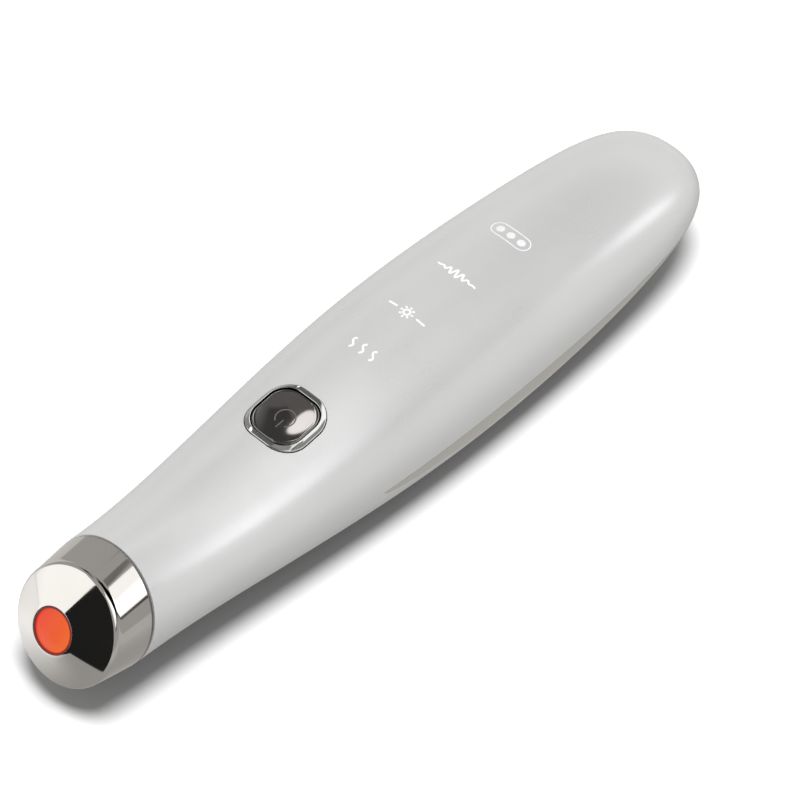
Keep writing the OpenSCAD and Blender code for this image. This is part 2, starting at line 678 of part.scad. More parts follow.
// Where the back of the light's board lies at the height z
led_back_h = led_board_top - board_t;
function led_back(z) = let (s = (z - face_lift - sin(face_tilt) * led_back_h) / cos(face_tilt))
    sin(face_tilt) * s - collar_len - cos(face_tilt) * led_back_h;
head_route = [[led_back(-1.2) + 0.25, 2.6, -1.2], [-2, 2.8, -1.4], [1.5, 3.4, -1.6], [4.5, 3.8, -1.5],
    [7, 4.8, motor_z], [motor_x + 0.5, 5.6, motor_z], [motor_x + 6, 5.8, motor_z],
    [motor_end, 5.8, motor_z], [board_edge - 2.8, 5.6, board_mid - 1.7],
    [board_edge, 5.4, board_mid]];
heater_route = [[led_back(0.1) + 0.25, 3.6, 0.1], [-1, 3.6, -0.1], [1, 3.7, -0.3], [4.5, 3.9, -0.4],
    [7, 5.6, -0.6], [motor_x + 0.5, 6.8, motor_z], [motor_x + 6, 7, motor_z],
    [motor_end, 7, motor_z], [board_edge - 2.8, 6.9, board_mid - 1.7],
    [board_edge, 6.8, board_mid]];
motor_route = [[motor_end + 0.1, 1.6, motor_z], [motor_end + 1.5, 1.6, motor_z + 0.2],
    [board_edge - 2.3, 1.6, board_mid - 1.3], [board_edge, 1.6, board_mid]];
battery_route = [[cell_x + 0.2, 1.3, cell_z + 2.6], [cell_x - 1, 1.3, cell_z + 2.8],
    [cell_x - 1.8, 1.3, cell_z + 3.8], [cell_x - 1.8, 1.3, board_z - 1.6],
    [cell_x - 1.8, 1.3, board_z - 0.1]];
port_route = [[port_board_x[0] + 1.6, 2, port_top + board_t + 0.08],
    [port_board_x[0] + 1.4, 2, board_z - 1.6], [board_end - 0.8, 2, board_z - 1],
    [board_end - 1.7, 2, board_z - 0.7], [board_end - 2, 2, board_z - 0.1]];
module pair(p) for (q = [p, mirrored(p)]) wire(q);
module head_wires() color([0.7, 0.1, 0.1]) placed() {
    pair(head_route);
    pair(heater_route);
}
module motor_wires() color([0.1, 0.2, 0.6]) placed() pair(motor_route);
module battery_wires() color([0.7, 0.1, 0.1]) placed() pair(battery_route);
module port_wires() color([0.1, 0.1, 0.1]) placed() pair(port_route);

upper_shell();
lower_shell();
trim_strip();
head_cap();
head_seal();
lens();
lens_seal();
heater_disc();
temperature_sensor();
led_board();
red_led();
head_carrier();
motor_can();
motor_bushes();
motor_sleeve();
motor_shaft();
eccentric_weight();
button_bezel();
button_cap();
tact_switch();
switch_plunger();
main_board();
control_chips();
mode_leds();
charge_leds();
icon_light_mask();
charge_light_mask();
diffuser_film();
board_screws();
battery_cell();
battery_pads();
port_board();
charge_port();
head_wires();
motor_wires();
battery_wires();
port_wires();
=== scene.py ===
"""Looks of a heated eye massager wand: pearl shells, plated head, lit lens and button.

The wand's form repeats the formula of the part's source, so every smooth skin here lies
on the solids, or a hair's breadth under them where another piece covers it. Sizes are in
millimetres in the wand's own frame, whose X runs from the head's joint to the tail;
WandForm.to_row turns them into metres in the row frame.
"""
import json
import logging
import math
from collections.abc import Callable
from dataclasses import dataclass, field
from enum import Enum

import bmesh
import bpy
import numpy as np
from mathutils import Matrix, Vector

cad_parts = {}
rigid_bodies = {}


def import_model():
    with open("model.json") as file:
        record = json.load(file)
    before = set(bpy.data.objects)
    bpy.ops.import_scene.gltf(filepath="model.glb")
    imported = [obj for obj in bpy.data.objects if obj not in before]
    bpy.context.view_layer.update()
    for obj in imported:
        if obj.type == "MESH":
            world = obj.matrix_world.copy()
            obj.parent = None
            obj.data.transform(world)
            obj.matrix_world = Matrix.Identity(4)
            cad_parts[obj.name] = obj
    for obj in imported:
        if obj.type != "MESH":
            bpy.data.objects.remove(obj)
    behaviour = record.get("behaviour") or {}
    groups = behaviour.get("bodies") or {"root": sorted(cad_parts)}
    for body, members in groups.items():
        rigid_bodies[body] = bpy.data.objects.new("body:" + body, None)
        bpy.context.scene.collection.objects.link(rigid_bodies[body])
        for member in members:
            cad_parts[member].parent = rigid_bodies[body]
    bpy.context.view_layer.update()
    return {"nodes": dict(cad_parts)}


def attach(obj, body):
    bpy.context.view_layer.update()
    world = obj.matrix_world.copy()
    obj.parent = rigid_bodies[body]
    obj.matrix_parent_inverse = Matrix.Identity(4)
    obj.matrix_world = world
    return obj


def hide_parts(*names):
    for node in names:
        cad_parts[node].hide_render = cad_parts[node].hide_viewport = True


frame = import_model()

log = logging.getLogger("wand")
MM = 0.001
Lay = Callable[[np.ndarray], np.ndarray]


class Side(Enum):
    """Which of the two shells a surface belongs to."""
    BACK = 1
    BELLY = -1


# ---------------------------------------------------------------- the wand's form

@dataclass(frozen=True)
class WandForm:
    """The body's form: Bezier widths and heights closed by a rounded tail."""
    body_len: float = 127.0
    neck_r: float = 10.0
    width_shares: tuple[float, ...] = (0, 0.14, 0.84, 1.45, 1, 0.1, 1.73)
    rise_shares: tuple[float, ...] = (0, -0.26, -0.11, 0.83, 1.65, 1.35, 0.33, -0.22, 0.2)
    drop_shares: tuple[float, ...] = (0, -2.27, -0.62, 1.88, 2.15, -0.7, -3.2)
    parting_heights: tuple[float, ...] = (0, -2.7, -3.1, -1.6, -2.3, -3.3, 0)
    grip_swell: float = 4.9
    back_swell: float = 4.6
    belly_swell: float = 2.6
    plan_close: tuple[float, float, float] = (0.62, 2.9, 1 / 2.2)
    side_close: tuple[float, float, float] = (0.75, 2.5, 0.5)
    square_from: float = 0.2
    back_square: float = 0.2
    belly_square: float = 0.25
    mid_x: float = 57.806
    foot_z: float = -13.054
    joint_tilt: float = 19.5
    wall: float = 1.8

    def bezier(self, values: np.ndarray, u: np.ndarray) -> np.ndarray:
        """Bezier curve: the sum of each control value times its Bernstein weight at u.

        Args:
            values: the control values, evenly spaced.
            u: places along the curve, 0 to 1.

        Returns:
            The curve's value at each place.
        """
        n = len(values) - 1
        return sum(math.comb(n, i) * u ** i * (1 - u) ** (n - i) * values[i]
                   for i in range(n + 1))

    def grown(self, swell: float, shares: tuple[float, ...]) -> np.ndarray:
        """Control values: the neck's radius plus the swell times each share."""
        return self.neck_r + swell * np.array(shares)

    def closing(self, x: np.ndarray, shape: tuple[float, float, float],
                inset: float) -> np.ndarray:
        """Rounding of the tail: (1 - s^power)^root, s running 0 to 1 from the share on.

        Args:
            x: stations along the body.
            shape: share of the length at which the rounding starts, power of the run,
                and power of what it leaves.
            inset: depth under the skin.

        Returns:
            The factor at each station, 1 before the start.
        """
        share, power, root = shape
        start = share * self.body_len
        stop = self.body_len - 2 * inset
        run = np.clip((x - start) / (stop - start), 0, 1)
        return np.maximum(0, 1 - run ** power) ** root

    def half_width(self, x: np.ndarray, inset: float = 0.0) -> np.ndarray:
        """Half width at each station: the Bezier width less the inset, closed at the tail.

        Args:
            x: stations along the body.
            inset: depth under the skin.

        Returns:
            The half widths.
        """
        u = np.clip(x / self.body_len, 0, 1)
        width = self.bezier(self.grown(self.grip_swell, self.width_shares), u)
        return (width - inset) * self.closing(x, self.plan_close, inset)

    def rise(self, x: np.ndarray, inset: float = 0.0) -> np.ndarray:
        """Height of the back over the parting line: the Bezier rise, closed at the tail.

        Args:
            x: stations along the body.
            inset: depth under the skin.

        Returns:
            The heights.
        """
        u = np.clip(x / self.body_len, 0, 1)
        rise = self.bezier(self.grown(self.back_swell, self.rise_shares), u)
        return (rise - inset) * self.closing(x, self.side_close, inset)

    def drop(self, x: np.ndarray, inset: float = 0.0) -> np.ndarray:
        """Depth of the belly under the parting line: the Bezier drop, closed at the tail.

        Args:
            x: stations along the body.
            inset: depth under the skin.

        Returns:
            The depths.
        """
        u = np.clip(x / self.body_len, 0, 1)
        drop = self.bezier(self.grown(self.belly_swell, self.drop_shares), u)
        return (drop - np.minimum(inset, drop / 2)) * self.closing(x, self.side_close, inset)

    def parting(self, x: np.ndarray) -> np.ndarray:
        """Height of the parting line, carried on straight in front of the joint.

        Args:
            x: stations along the body.

        Returns:
            The heights over the axis.
        """
        heights = np.array(self.parting_heights)
        ahead = np.minimum(x, 0) * np.tan(self.slope(np.zeros_like(x)))
        return self.bezier(heights, np.clip(x / self.body_len, 0, 1)) + ahead

    def slope(self, x: np.ndarray) -> np.ndarray:
        """Angle of the parting line: the slope of the Bezier curve, from its own steps.

        Args:
            x: stations along the body.

        Returns:
            The angles, in radians.
        """
        heights = np.array(self.parting_heights)
        steps = np.diff(heights) * (len(heights) - 1)
        return np.arctan(self.bezier(steps, np.clip(x / self.body_len, 0, 1)) / self.body_len)

    def at(self, x: np.ndarray, y: np.ndarray, v: np.ndarray) -> np.ndarray:
        """A point of a section: its station moved square to the parting line.

        Args:
            x: the station.
            y: distance across.
            v: distance over the parting line, square to it.

        Returns:
            Points in the wand's frame.
        """
        angle = self.slope(x)
        return np.stack([x - np.sin(angle) * v, y + 0 * x,
                         self.parting(x) + np.cos(angle) * v], axis=-1)

    def power(self, x: np.ndarray, square: float | np.ndarray) -> np.ndarray:
        """The section's power: 2, a round, at the joint, and 2 plus square further on."""
        return 2 + square * np.clip(x / (self.square_from * self.body_len), 0, 1)

    def skin(self, x: np.ndarray, angle: np.ndarray, inset: float = 0.0) -> np.ndarray:
        """The skin: a superellipse section, |y/w|^m + |v/h|^m = 1, at each station.

        Args:
            x: stations, any shape that goes with angle.
            angle: turn about the section from +Y over the back, in radians.
            inset: depth under the skin.

        Returns:
            Points in the wand's frame, one for each pair of x and angle.
        """
        x, angle = np.broadcast_arrays(np.asarray(x, float), np.asarray(angle, float))
        c, s = np.cos(angle), np.sin(angle)
        over = s >= 0
        m = self.power(x, np.where(over, self.back_square, self.belly_square))
        height = np.where(over, self.rise(x, inset), self.drop(x, inset))
        y = self.half_width(x, inset) * np.sign(c) * np.abs(c) ** (2 / m)
        return self.at(x, y, height * np.sign(s) * np.abs(s) ** (2 / m))

    def from_joint(self, share: np.ndarray, angle: np.ndarray, gap: float,
                   inset: float = 0.0) -> np.ndarray:
        """Stations from the tilted joint plane (share 0) to the tail (share 1).

        The first station of each angle is moved until its skin point lies gap behind the
        joint plane, by repeated correction of the leftover distance.

        Args:
            share: shares of the way to the tail.
            angle: section angles.
            gap: distance behind the joint plane.
            inset: depth under the skin.

        Returns:
            An array of stations, shares by angles.
        """
        tilt = math.radians(self.joint_tilt)
        first = np.zeros_like(angle)
        for _ in range(8):
            p = self.skin(first, angle, inset)
            first = first + gap - (p[..., 0] * math.cos(tilt) - p[..., 2] * math.sin(tilt))
        return first[None, :] + share[:, None] * (self.body_len - first[None, :])

    def back_height(self, x: np.ndarray, y: np.ndarray) -> np.ndarray:
        """Height of the back's skin over a point, by repeated correction of the station.

        Args:
            x: the point's place along the body.
            y: its place across.

        Returns:
            The heights over Z = 0.
        """
        station = np.array(x, float)
        for _ in range(6):
            w = self.half_width(station)
            m = self.power(station, self.back_square)
            v = self.rise(station) * (1 - np.abs(y / w) ** m) ** (1 / m)
            p = self.at(station, y, v)
            station = station + x - p[..., 0]
        return p[..., 2]

    def to_row(self, points: np.ndarray) -> np.ndarray:
        """Points of the wand's frame in millimetres as row frame metres."""
        return (points - np.array([self.mid_x, 0, self.foot_z])) * MM


FORM = WandForm()


# ---------------------------------------------------------------- meshes

def mesh_object(name: str, points: np.ndarray, faces: np.ndarray | list,
                sharp: float = 35.0, merge: float = 1e-4) -> bpy.types.Object:
    """Makes an object of points in the wand's frame and joins what falls together.

    Args:
        name: the object's name.
        points: N by 3 points in millimetres.
        faces: rows of point numbers.
        sharp: angle over which an edge is shaded sharp, in degrees.
        merge: points closer than this, in millimetres, are joined.

    Returns:
        The object, at the origin, shaded smooth.
    """
    mesh = bpy.data.meshes.new(name)
    rows = faces.tolist() if isinstance(faces, np.ndarray) else faces
    mesh.from_pydata(FORM.to_row(points.reshape(-1, 3)).tolist(), [], rows)
    work = bmesh.new()
    work.from_mesh(mesh)
    bmesh.ops.remove_doubles(work, verts=work.verts, dist=merge * MM)
    bmesh.ops.dissolve_degenerate(work, edges=work.edges, dist=1e-9)
    bmesh.ops.recalc_face_normals(work, faces=work.faces)
    work.to_mesh(mesh)
    work.free()
    mesh.shade_smooth()
    mesh.set_sharp_from_angle(angle=math.radians(sharp))
    obj = bpy.data.objects.new(name, mesh)
    bpy.context.scene.collection.objects.link(obj)
    return obj


def grid_faces(rows: int, columns: int, wrap_rows: bool = False,
               wrap_columns: bool = True) -> np.ndarray:
    """Quads of a grid of points, joined round where asked.

    Args:
        rows: count of rows.
        columns: count of columns.
        wrap_rows: joins the last row to the first.
        wrap_columns: joins the last column to the first.

    Returns:
        An array of four point numbers a face.
    """
    i = np.arange(rows if wrap_rows else rows - 1)[:, None]
    j = np.arange(columns if wrap_columns else columns - 1)[None, :]
    i2, j2 = (i + 1) % rows, (j + 1) % columns
    quads = np.stack([i * columns + j, i * columns + j2, i2 * columns + j2,
                      i2 * columns + j], axis=-1)
    return quads.reshape(-1, 4)


def fan_cap(loop: np.ndarray) -> np.ndarray:
    """Quads that close the front of a wall whose loop runs out along its skin and back.

    Args:
        loop: the point numbers of the wall's first loop.

    Returns:
        An array of four point numbers a face.
    """
    half = len(loop) // 2
    k = np.arange(half - 1)
    return np.stack([loop[k], loop[k + 1], loop[len(loop) - 2 - k], loop[len(loop) - 1 - k]],
                    axis=-1)


def spread(count: int, ease: float = 1.6) -> np.ndarray:
    """Shares from 0 to 1 that crowd towards 1: 1 - (1 - s)^ease."""
    return 1 - (1 - np.linspace(0, 1, count)) ** ease


def bevelled(obj: bpy.types.Object, width: float) -> None:
    """Rounds the sharp edges of a piece.

    Args:
        obj: the piece.
        width: width of the rounding, in millimetres.
    """
    bevel = obj.modifiers.new("rounded_edges", "BEVEL")
    bevel.width = width * MM
    bevel.segments = 2
    bevel.limit_method = "ANGLE"
    bevel.angle_limit = math.radians(50)
    bevel.harden_normals = False


def cut_out(obj: bpy.types.Object, cutter: bpy.types.Object) -> None:
    """Cuts the cutter's solid out of a piece for good, and removes the cutter.

    Args:
        obj: the piece.
        cutter: the solid to take away.
    """
    cut = obj.modifiers.new("cut", "BOOLEAN")
    cut.object = cutter
    cut.operation = "DIFFERENCE"
    cut.solver = "EXACT"
    depsgraph = bpy.context.evaluated_depsgraph_get()
    mesh = bpy.data.meshes.new_from_object(obj.evaluated_get(depsgraph))
    obj.modifiers.remove(cut)
    obj.data = mesh
    bpy.data.objects.remove(cutter)


# ---------------------------------------------------------------- finishes

@dataclass(frozen=True)
class Finish:
    """A finish whose colour, gloss and relief vary with noise in the piece's own space."""
    name: str
    colour: tuple[float, float, float]
    rough: float = 0.5
    metal: float = 0.0
    vary: float = 0.06
    rough_vary: float = 0.05
    scale: float = 300.0
    grain: float = 0.02
    grain_scale: float = 4000.0
    grain_deep: float = 0.0001
    coat: float = 0.0
    coat_rough: float = 0.12
    stretch: tuple[float, float, float] = (1.0, 1.0, 1.0)

    def noise(self, tree: bpy.types.NodeTree, scale: float, detail: float
              ) -> bpy.types.Node:
        """Noise in object coordinates, stretched as the finish asks.

        Args:
            tree: the material's nodes.
            scale: how fine the noise is, per metre.
            detail: levels of finer noise.

        Returns:
            The noise node.
        """
        place = tree.nodes.new("ShaderNodeTexCoord")
        mapping = tree.nodes.new("ShaderNodeMapping")
        mapping.inputs["Scale"].default_value = self.stretch
        noise = tree.nodes.new("ShaderNodeTexNoise")
        noise.inputs["Scale"].default_value = scale
        noise.inputs["Detail"].default_value = detail
        tree.links.new(place.outputs["Object"], mapping.inputs["Vector"])
        tree.links.new(mapping.outputs["Vector"], noise.inputs["Vector"])
        return noise

    def span(self, tree: bpy.types.NodeTree, source: bpy.types.NodeSocket, low: float,
             high: float) -> bpy.types.NodeSocket:
        """Maps a 0.3 to 0.7 noise value on to low to high.

        Args:
            tree: the material's nodes.
            source: the noise's value.
            low: result at 0.3.
            high: result at 0.7.

        Returns:
            The mapped value's socket.
        """
        remap = tree.nodes.new("ShaderNodeMapRange")
        remap.inputs["From Min"].default_value = 0.3
        remap.inputs["From Max"].default_value = 0.7
        remap.inputs["To Min"].default_value = low
        remap.inputs["To Max"].default_value = high
        tree.links.new(source, remap.inputs["Value"])
        return remap.outputs["Result"]

    def tones(self) -> tuple[tuple[float, ...], tuple[float, ...]]:
        """The finish's darker and lighter colour, its own colour less and plus vary.

        Returns:
            The two colours, with alpha.
        """
        dark = tuple(c * (1 - self.vary) for c in self.colour) + (1.0,)
        light = tuple(min(1.0, c * (1 + self.vary)) for c in self.colour) + (1.0,)
        return dark, light

    def shade(self, tree: bpy.types.NodeTree, shader: bpy.types.Node) -> None:
        """Links colour, roughness and relief to the shader.

        Args:
            tree: the material's nodes.
            shader: the Principled shader.
        """
        broad = self.noise(tree, self.scale, 3.0)
        ramp = tree.nodes.new("ShaderNodeValToRGB")
        dark, light = self.tones()
        ramp.color_ramp.elements[0].position = 0.3
        ramp.color_ramp.elements[0].color = dark
        ramp.color_ramp.elements[1].position = 0.7
        ramp.color_ramp.elements[1].color = light
        tree.links.new(broad.outputs["Fac"], ramp.inputs["Fac"])
        tree.links.new(ramp.outputs["Color"], shader.inputs["Base Color"])
        tree.links.new(self.span(tree, broad.outputs["Fac"],
                                 max(0.02, self.rough - self.rough_vary),
                                 self.rough + self.rough_vary), shader.inputs["Roughness"])
        if self.grain:
            fine = self.noise(tree, self.grain_scale, 2.0)
            bump = tree.nodes.new("ShaderNodeBump")
            bump.inputs["Strength"].default_value = self.grain
            bump.inputs["Distance"].default_value = self.grain_deep
            tree.links.new(fine.outputs["Fac"], bump.inputs["Height"])
            tree.links.new(bump.outputs["Normal"], shader.inputs["Normal"])

    def material(self) -> bpy.types.Material:
        """The finish's material, made once and then shared.

        Returns:
            The material.
        """
        found = bpy.data.materials.get(self.name)
        if found:
            return found
        made = bpy.data.materials.new(self.name)
        made.use_nodes = True
        tree = made.node_tree
        shader = tree.nodes["Principled BSDF"]
        shader.inputs["Metallic"].default_value = self.metal
        shader.inputs["Coat Weight"].default_value = self.coat
        shader.inputs["Coat Roughness"].default_value = self.coat_rough
        made.diffuse_color = self.colour + (1.0,)
        self.shade(tree, shader)
        return made

    def dress(self, obj: bpy.types.Object) -> None:
        """Gives a piece this finish in every slot.

        Args:
            obj: the piece or CAD node.
        """
        made = self.material()
        if not obj.material_slots:
            obj.data.materials.append(made)
        for entry in obj.material_slots:
            entry.material = made


@dataclass(frozen=True)
class PearlFinish(Finish):
    """Pearl lacquer: fine metallic flakes as cell noise under a clear coat."""
    flake_scale: float = 9000.0
    flake_tone: float = 0.965

    def shade(self, tree: bpy.types.NodeTree, shader: bpy.types.Node) -> None:
        """Adds flakes, a lighter or darker cell each, to the broad variation.

        Args:
            tree: the material's nodes.
            shader: the Principled shader.
        """
        super().shade(tree, shader)
        broad = shader.inputs["Base Color"].links[0].from_socket
        place = tree.nodes.new("ShaderNodeTexCoord")
        cells = tree.nodes.new("ShaderNodeTexVoronoi")
        cells.inputs["Scale"].default_value = self.flake_scale
        tree.links.new(place.outputs["Object"], cells.inputs["Vector"])
        split = tree.nodes.new("ShaderNodeSeparateColor")
        tree.links.new(cells.outputs["Color"], split.inputs["Color"])
        level = tree.nodes.new("ShaderNodeMapRange")
        level.inputs["To Min"].default_value = self.flake_tone
        level.inputs["To Max"].default_value = 1.0
        tree.links.new(split.outputs["Red"], level.inputs["Value"])
        mix = tree.nodes.new("ShaderNodeVectorMath")
        mix.operation = "SCALE"
        tree.links.new(broad, mix.inputs[0])
        tree.links.new(level.outputs["Result"], mix.inputs["Scale"])
        tree.links.new(mix.outputs["Vector"], shader.inputs["Base Color"])


@dataclass(frozen=True)
class LitLensFinish(Finish):
    """A lit red lens: orange over the diode, deeper red towards its far rim."""
    glow: float = 1.0
    reach: float = 0.0033
    far_glow: tuple[float, float, float] = (0.74, 0.035, 0.008)
    near_glow: tuple[float, float, float] = (0.82, 0.15, 0.035)

    def shade(self, tree: bpy.types.NodeTree, shader: bpy.types.Node) -> None:
        """Adds the glow, a ramp across the lens in object coordinates.

        Args:
            tree: the material's nodes.
            shader: the Principled shader.
        """
        super().shade(tree, shader)
        place = tree.nodes.new("ShaderNodeTexCoord")
        split = tree.nodes.new("ShaderNodeSeparateXYZ")
        tree.links.new(place.outputs["Object"], split.inputs["Vector"])
        across = tree.nodes.new("ShaderNodeMapRange")
        across.inputs["From Min"].default_value = -self.reach
        across.inputs["From Max"].default_value = self.reach
        across.inputs["To Min"].default_value = 1.0
        across.inputs["To Max"].default_value = 0.0
        tree.links.new(split.outputs["Y"], across.inputs["Value"])
        ramp = tree.nodes.new("ShaderNodeValToRGB")
        ramp.color_ramp.elements[0].color = self.far_glow + (1.0,)
        ramp.color_ramp.elements[1].color = self.near_glow + (1.0,)
        tree.links.new(across.outputs["Result"], ramp.inputs["Fac"])
        tree.links.new(ramp.outputs["Color"], shader.inputs["Emission Color"])
        shader.inputs["Emission Strength"].default_value = self.glow
        shader.inputs["Specular IOR Level"].default_value = 0.2


@dataclass(frozen=True)
class BoardFinish(Finish):
    """Green solder mask over rows of copper tracks, a wave along X cut by noise."""
    track: tuple[float, float, float] = (0.10, 0.34, 0.16)
    track_scale: float = 260.0

    def shade(self, tree: bpy.types.NodeTree, shader: bpy.types.Node) -> None:
        """Adds the tracks as lighter lines.

        Args:
            tree: the material's nodes.
            shader: the Principled shader.
        """
        super().shade(tree, shader)
        plain = shader.inputs["Base Color"].links[0].from_socket
        place = tree.nodes.new("ShaderNodeTexCoord")
        wave = tree.nodes.new("ShaderNodeTexWave")
        wave.inputs["Scale"].default_value = self.track_scale
        wave.inputs["Distortion"].default_value = 3.0
        tree.links.new(place.outputs["Object"], wave.inputs["Vector"])
        edge = tree.nodes.new("ShaderNodeMapRange")
        edge.inputs["From Min"].default_value = 0.78
        edge.inputs["From Max"].default_value = 0.86
        tree.links.new(wave.outputs["Fac"], edge.inputs["Value"])
        mix = tree.nodes.new("ShaderNodeMix")
        mix.data_type = "RGBA"
        tree.links.new(edge.outputs["Result"], mix.inputs["Factor"])
        tree.links.new(plain, mix.inputs["A"])
        mix.inputs["B"].default_value = self.track + (1.0,)
        tree.links.new(mix.outputs["Result"], shader.inputs["Base Color"])


PEARL = PearlFinish("pearl_lacquer", (0.67, 0.67, 0.665), rough=0.30, metal=0.3, vary=0.015,
                    rough_vary=0.03, scale=60.0, grain=0.012, coat=0.15)
TRIM = Finish("warm_grey_plating", (0.74, 0.72, 0.67), rough=0.22, metal=1.0, vary=0.02,
              scale=90.0, grain=0.002, stretch=(0.2, 1.0, 1.0))
HEAD = Finish("polished_plating", (0.58, 0.56, 0.53), rough=0.07, metal=1.0, vary=0.02,
              rough_vary=0.02, scale=120.0, grain=0.004, grain_scale=2500.0)
RIM = Finish("dark_plating", (0.45, 0.45, 0.44), rough=0.08, metal=1.0, vary=0.02,
             rough_vary=0.02, scale=200.0, grain=0.004)
SMOKED = Finish("smoked_plating", (0.16, 0.152, 0.148), rough=0.07, metal=1.0, vary=0.05,
                rough_vary=0.02, scale=200.0, grain=0.004)
LENS = LitLensFinish("lit_red_lens", (0.05, 0.005, 0.003), rough=0.34, vary=0.05, grain=0.01)
# painted glow: the lens seal's dark red stands for the lit lens's red light falling on it
SEAL_WITH_PAINTED_GLOW = Finish("dark_red_rubber", (0.26, 0.035, 0.025), rough=0.5, vary=0.1)
RUBBER = Finish("dark_rubber", (0.018, 0.018, 0.018), rough=0.6, vary=0.15, grain=0.06)
INK = Finish("white_ink", (0.88, 0.88, 0.88), rough=0.5, vary=0.03)
DARK_INK = Finish("grey_ink", (0.11, 0.10, 0.10), rough=0.5, vary=0.05)
WINDOW = Finish("frosted_dot", (0.74, 0.74, 0.74), rough=0.45, vary=0.03)
FAINT_INK = Finish("faint_ink", (0.76, 0.76, 0.76), rough=0.5, vary=0.03)
SEAL = Finish("grey_rubber", (0.10, 0.10, 0.10), rough=0.6, vary=0.1, grain=0.05)
BLACK = Finish("black_moulding", (0.03, 0.03, 0.032), rough=0.5, vary=0.1, grain=0.08)
BOARD = BoardFinish("solder_mask", (0.025, 0.16, 0.065), rough=0.35, vary=0.08, scale=500.0)
BRASS = Finish("sintered_brass", (0.55, 0.36, 0.14), rough=0.35, metal=1.0, vary=0.06,
               grain=0.08)
ETCHED = Finish("etched_heater", (0.52, 0.28, 0.12), rough=0.4, metal=1.0, vary=0.2,
                scale=900.0, grain=0.05)
STEEL = Finish("brushed_steel", (0.48, 0.48, 0.49), rough=0.3, metal=1.0, vary=0.05,
               scale=700.0, grain=0.05, stretch=(0.1, 1.0, 1.0))
SLEEVE = Finish("cell_sleeve", (0.03, 0.09, 0.30), rough=0.3, vary=0.06, coat=0.3)
FROSTED = Finish("frosted_film", (0.75, 0.75, 0.72), rough=0.5, vary=0.03)
DIODE = Finish("diode_lens", (0.75, 0.73, 0.55), rough=0.25, vary=0.05, coat=0.4)
RED_DIODE = Finish("red_diode_lens", (0.6, 0.04, 0.03), rough=0.15, vary=0.06, coat=0.5)
RED_WIRE = Finish("red_insulation", (0.40, 0.02, 0.02), rough=0.4, vary=0.08)
BLUE_WIRE = Finish("blue_insulation", (0.02, 0.05, 0.32), rough=0.4, vary=0.08)
BLACK_WIRE = Finish("black_insulation", (0.015, 0.015, 0.015), rough=0.4, vary=0.1)

NODE_FINISHES: dict[str, Finish] = {
    "head_seal": SEAL, "lens_seal": SEAL_WITH_PAINTED_GLOW, "heater_disc": ETCHED,
    "temperature_sensor": BLACK, "led_board": BOARD, "red_led": RED_DIODE,
    "head_carrier": BLACK, "motor_can": STEEL, "motor_bushes": BRASS,
    "motor_sleeve": RUBBER, "motor_shaft": STEEL, "eccentric_weight": STEEL,
    "tact_switch": BLACK, "switch_plunger": BLACK, "main_board": BOARD,
    "control_chips": BLACK, "mode_leds": DIODE, "charge_leds": DIODE,
    "icon_light_mask": BLACK, "charge_light_mask": BLACK, "diffuser_film": FROSTED,
    "board_screws": STEEL, "battery_cell": SLEEVE, "battery_pads": RUBBER,
    "port_board": BOARD, "charge_port": STEEL, "head_wires": RED_WIRE,
    "motor_wires": BLUE_WIRE, "battery_wires": RED_WIRE, "port_wires": BLACK_WIRE,
}


# ---------------------------------------------------------------- sub-assemblies

@dataclass
class Piece:
    """A piece's place in the model: its body, its node and its finish."""
    obj: bpy.types.Object
    body: str
    slot: str
    nodes: tuple[str, ...] = ()

    def settle(self) -> None:
        """Lets the piece ride and stand for its nodes."""
        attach(self.obj, self.body)
        if self.nodes:
            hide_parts(*self.nodes)
        log.info("%s rides on %s", self.obj.name, self.body)


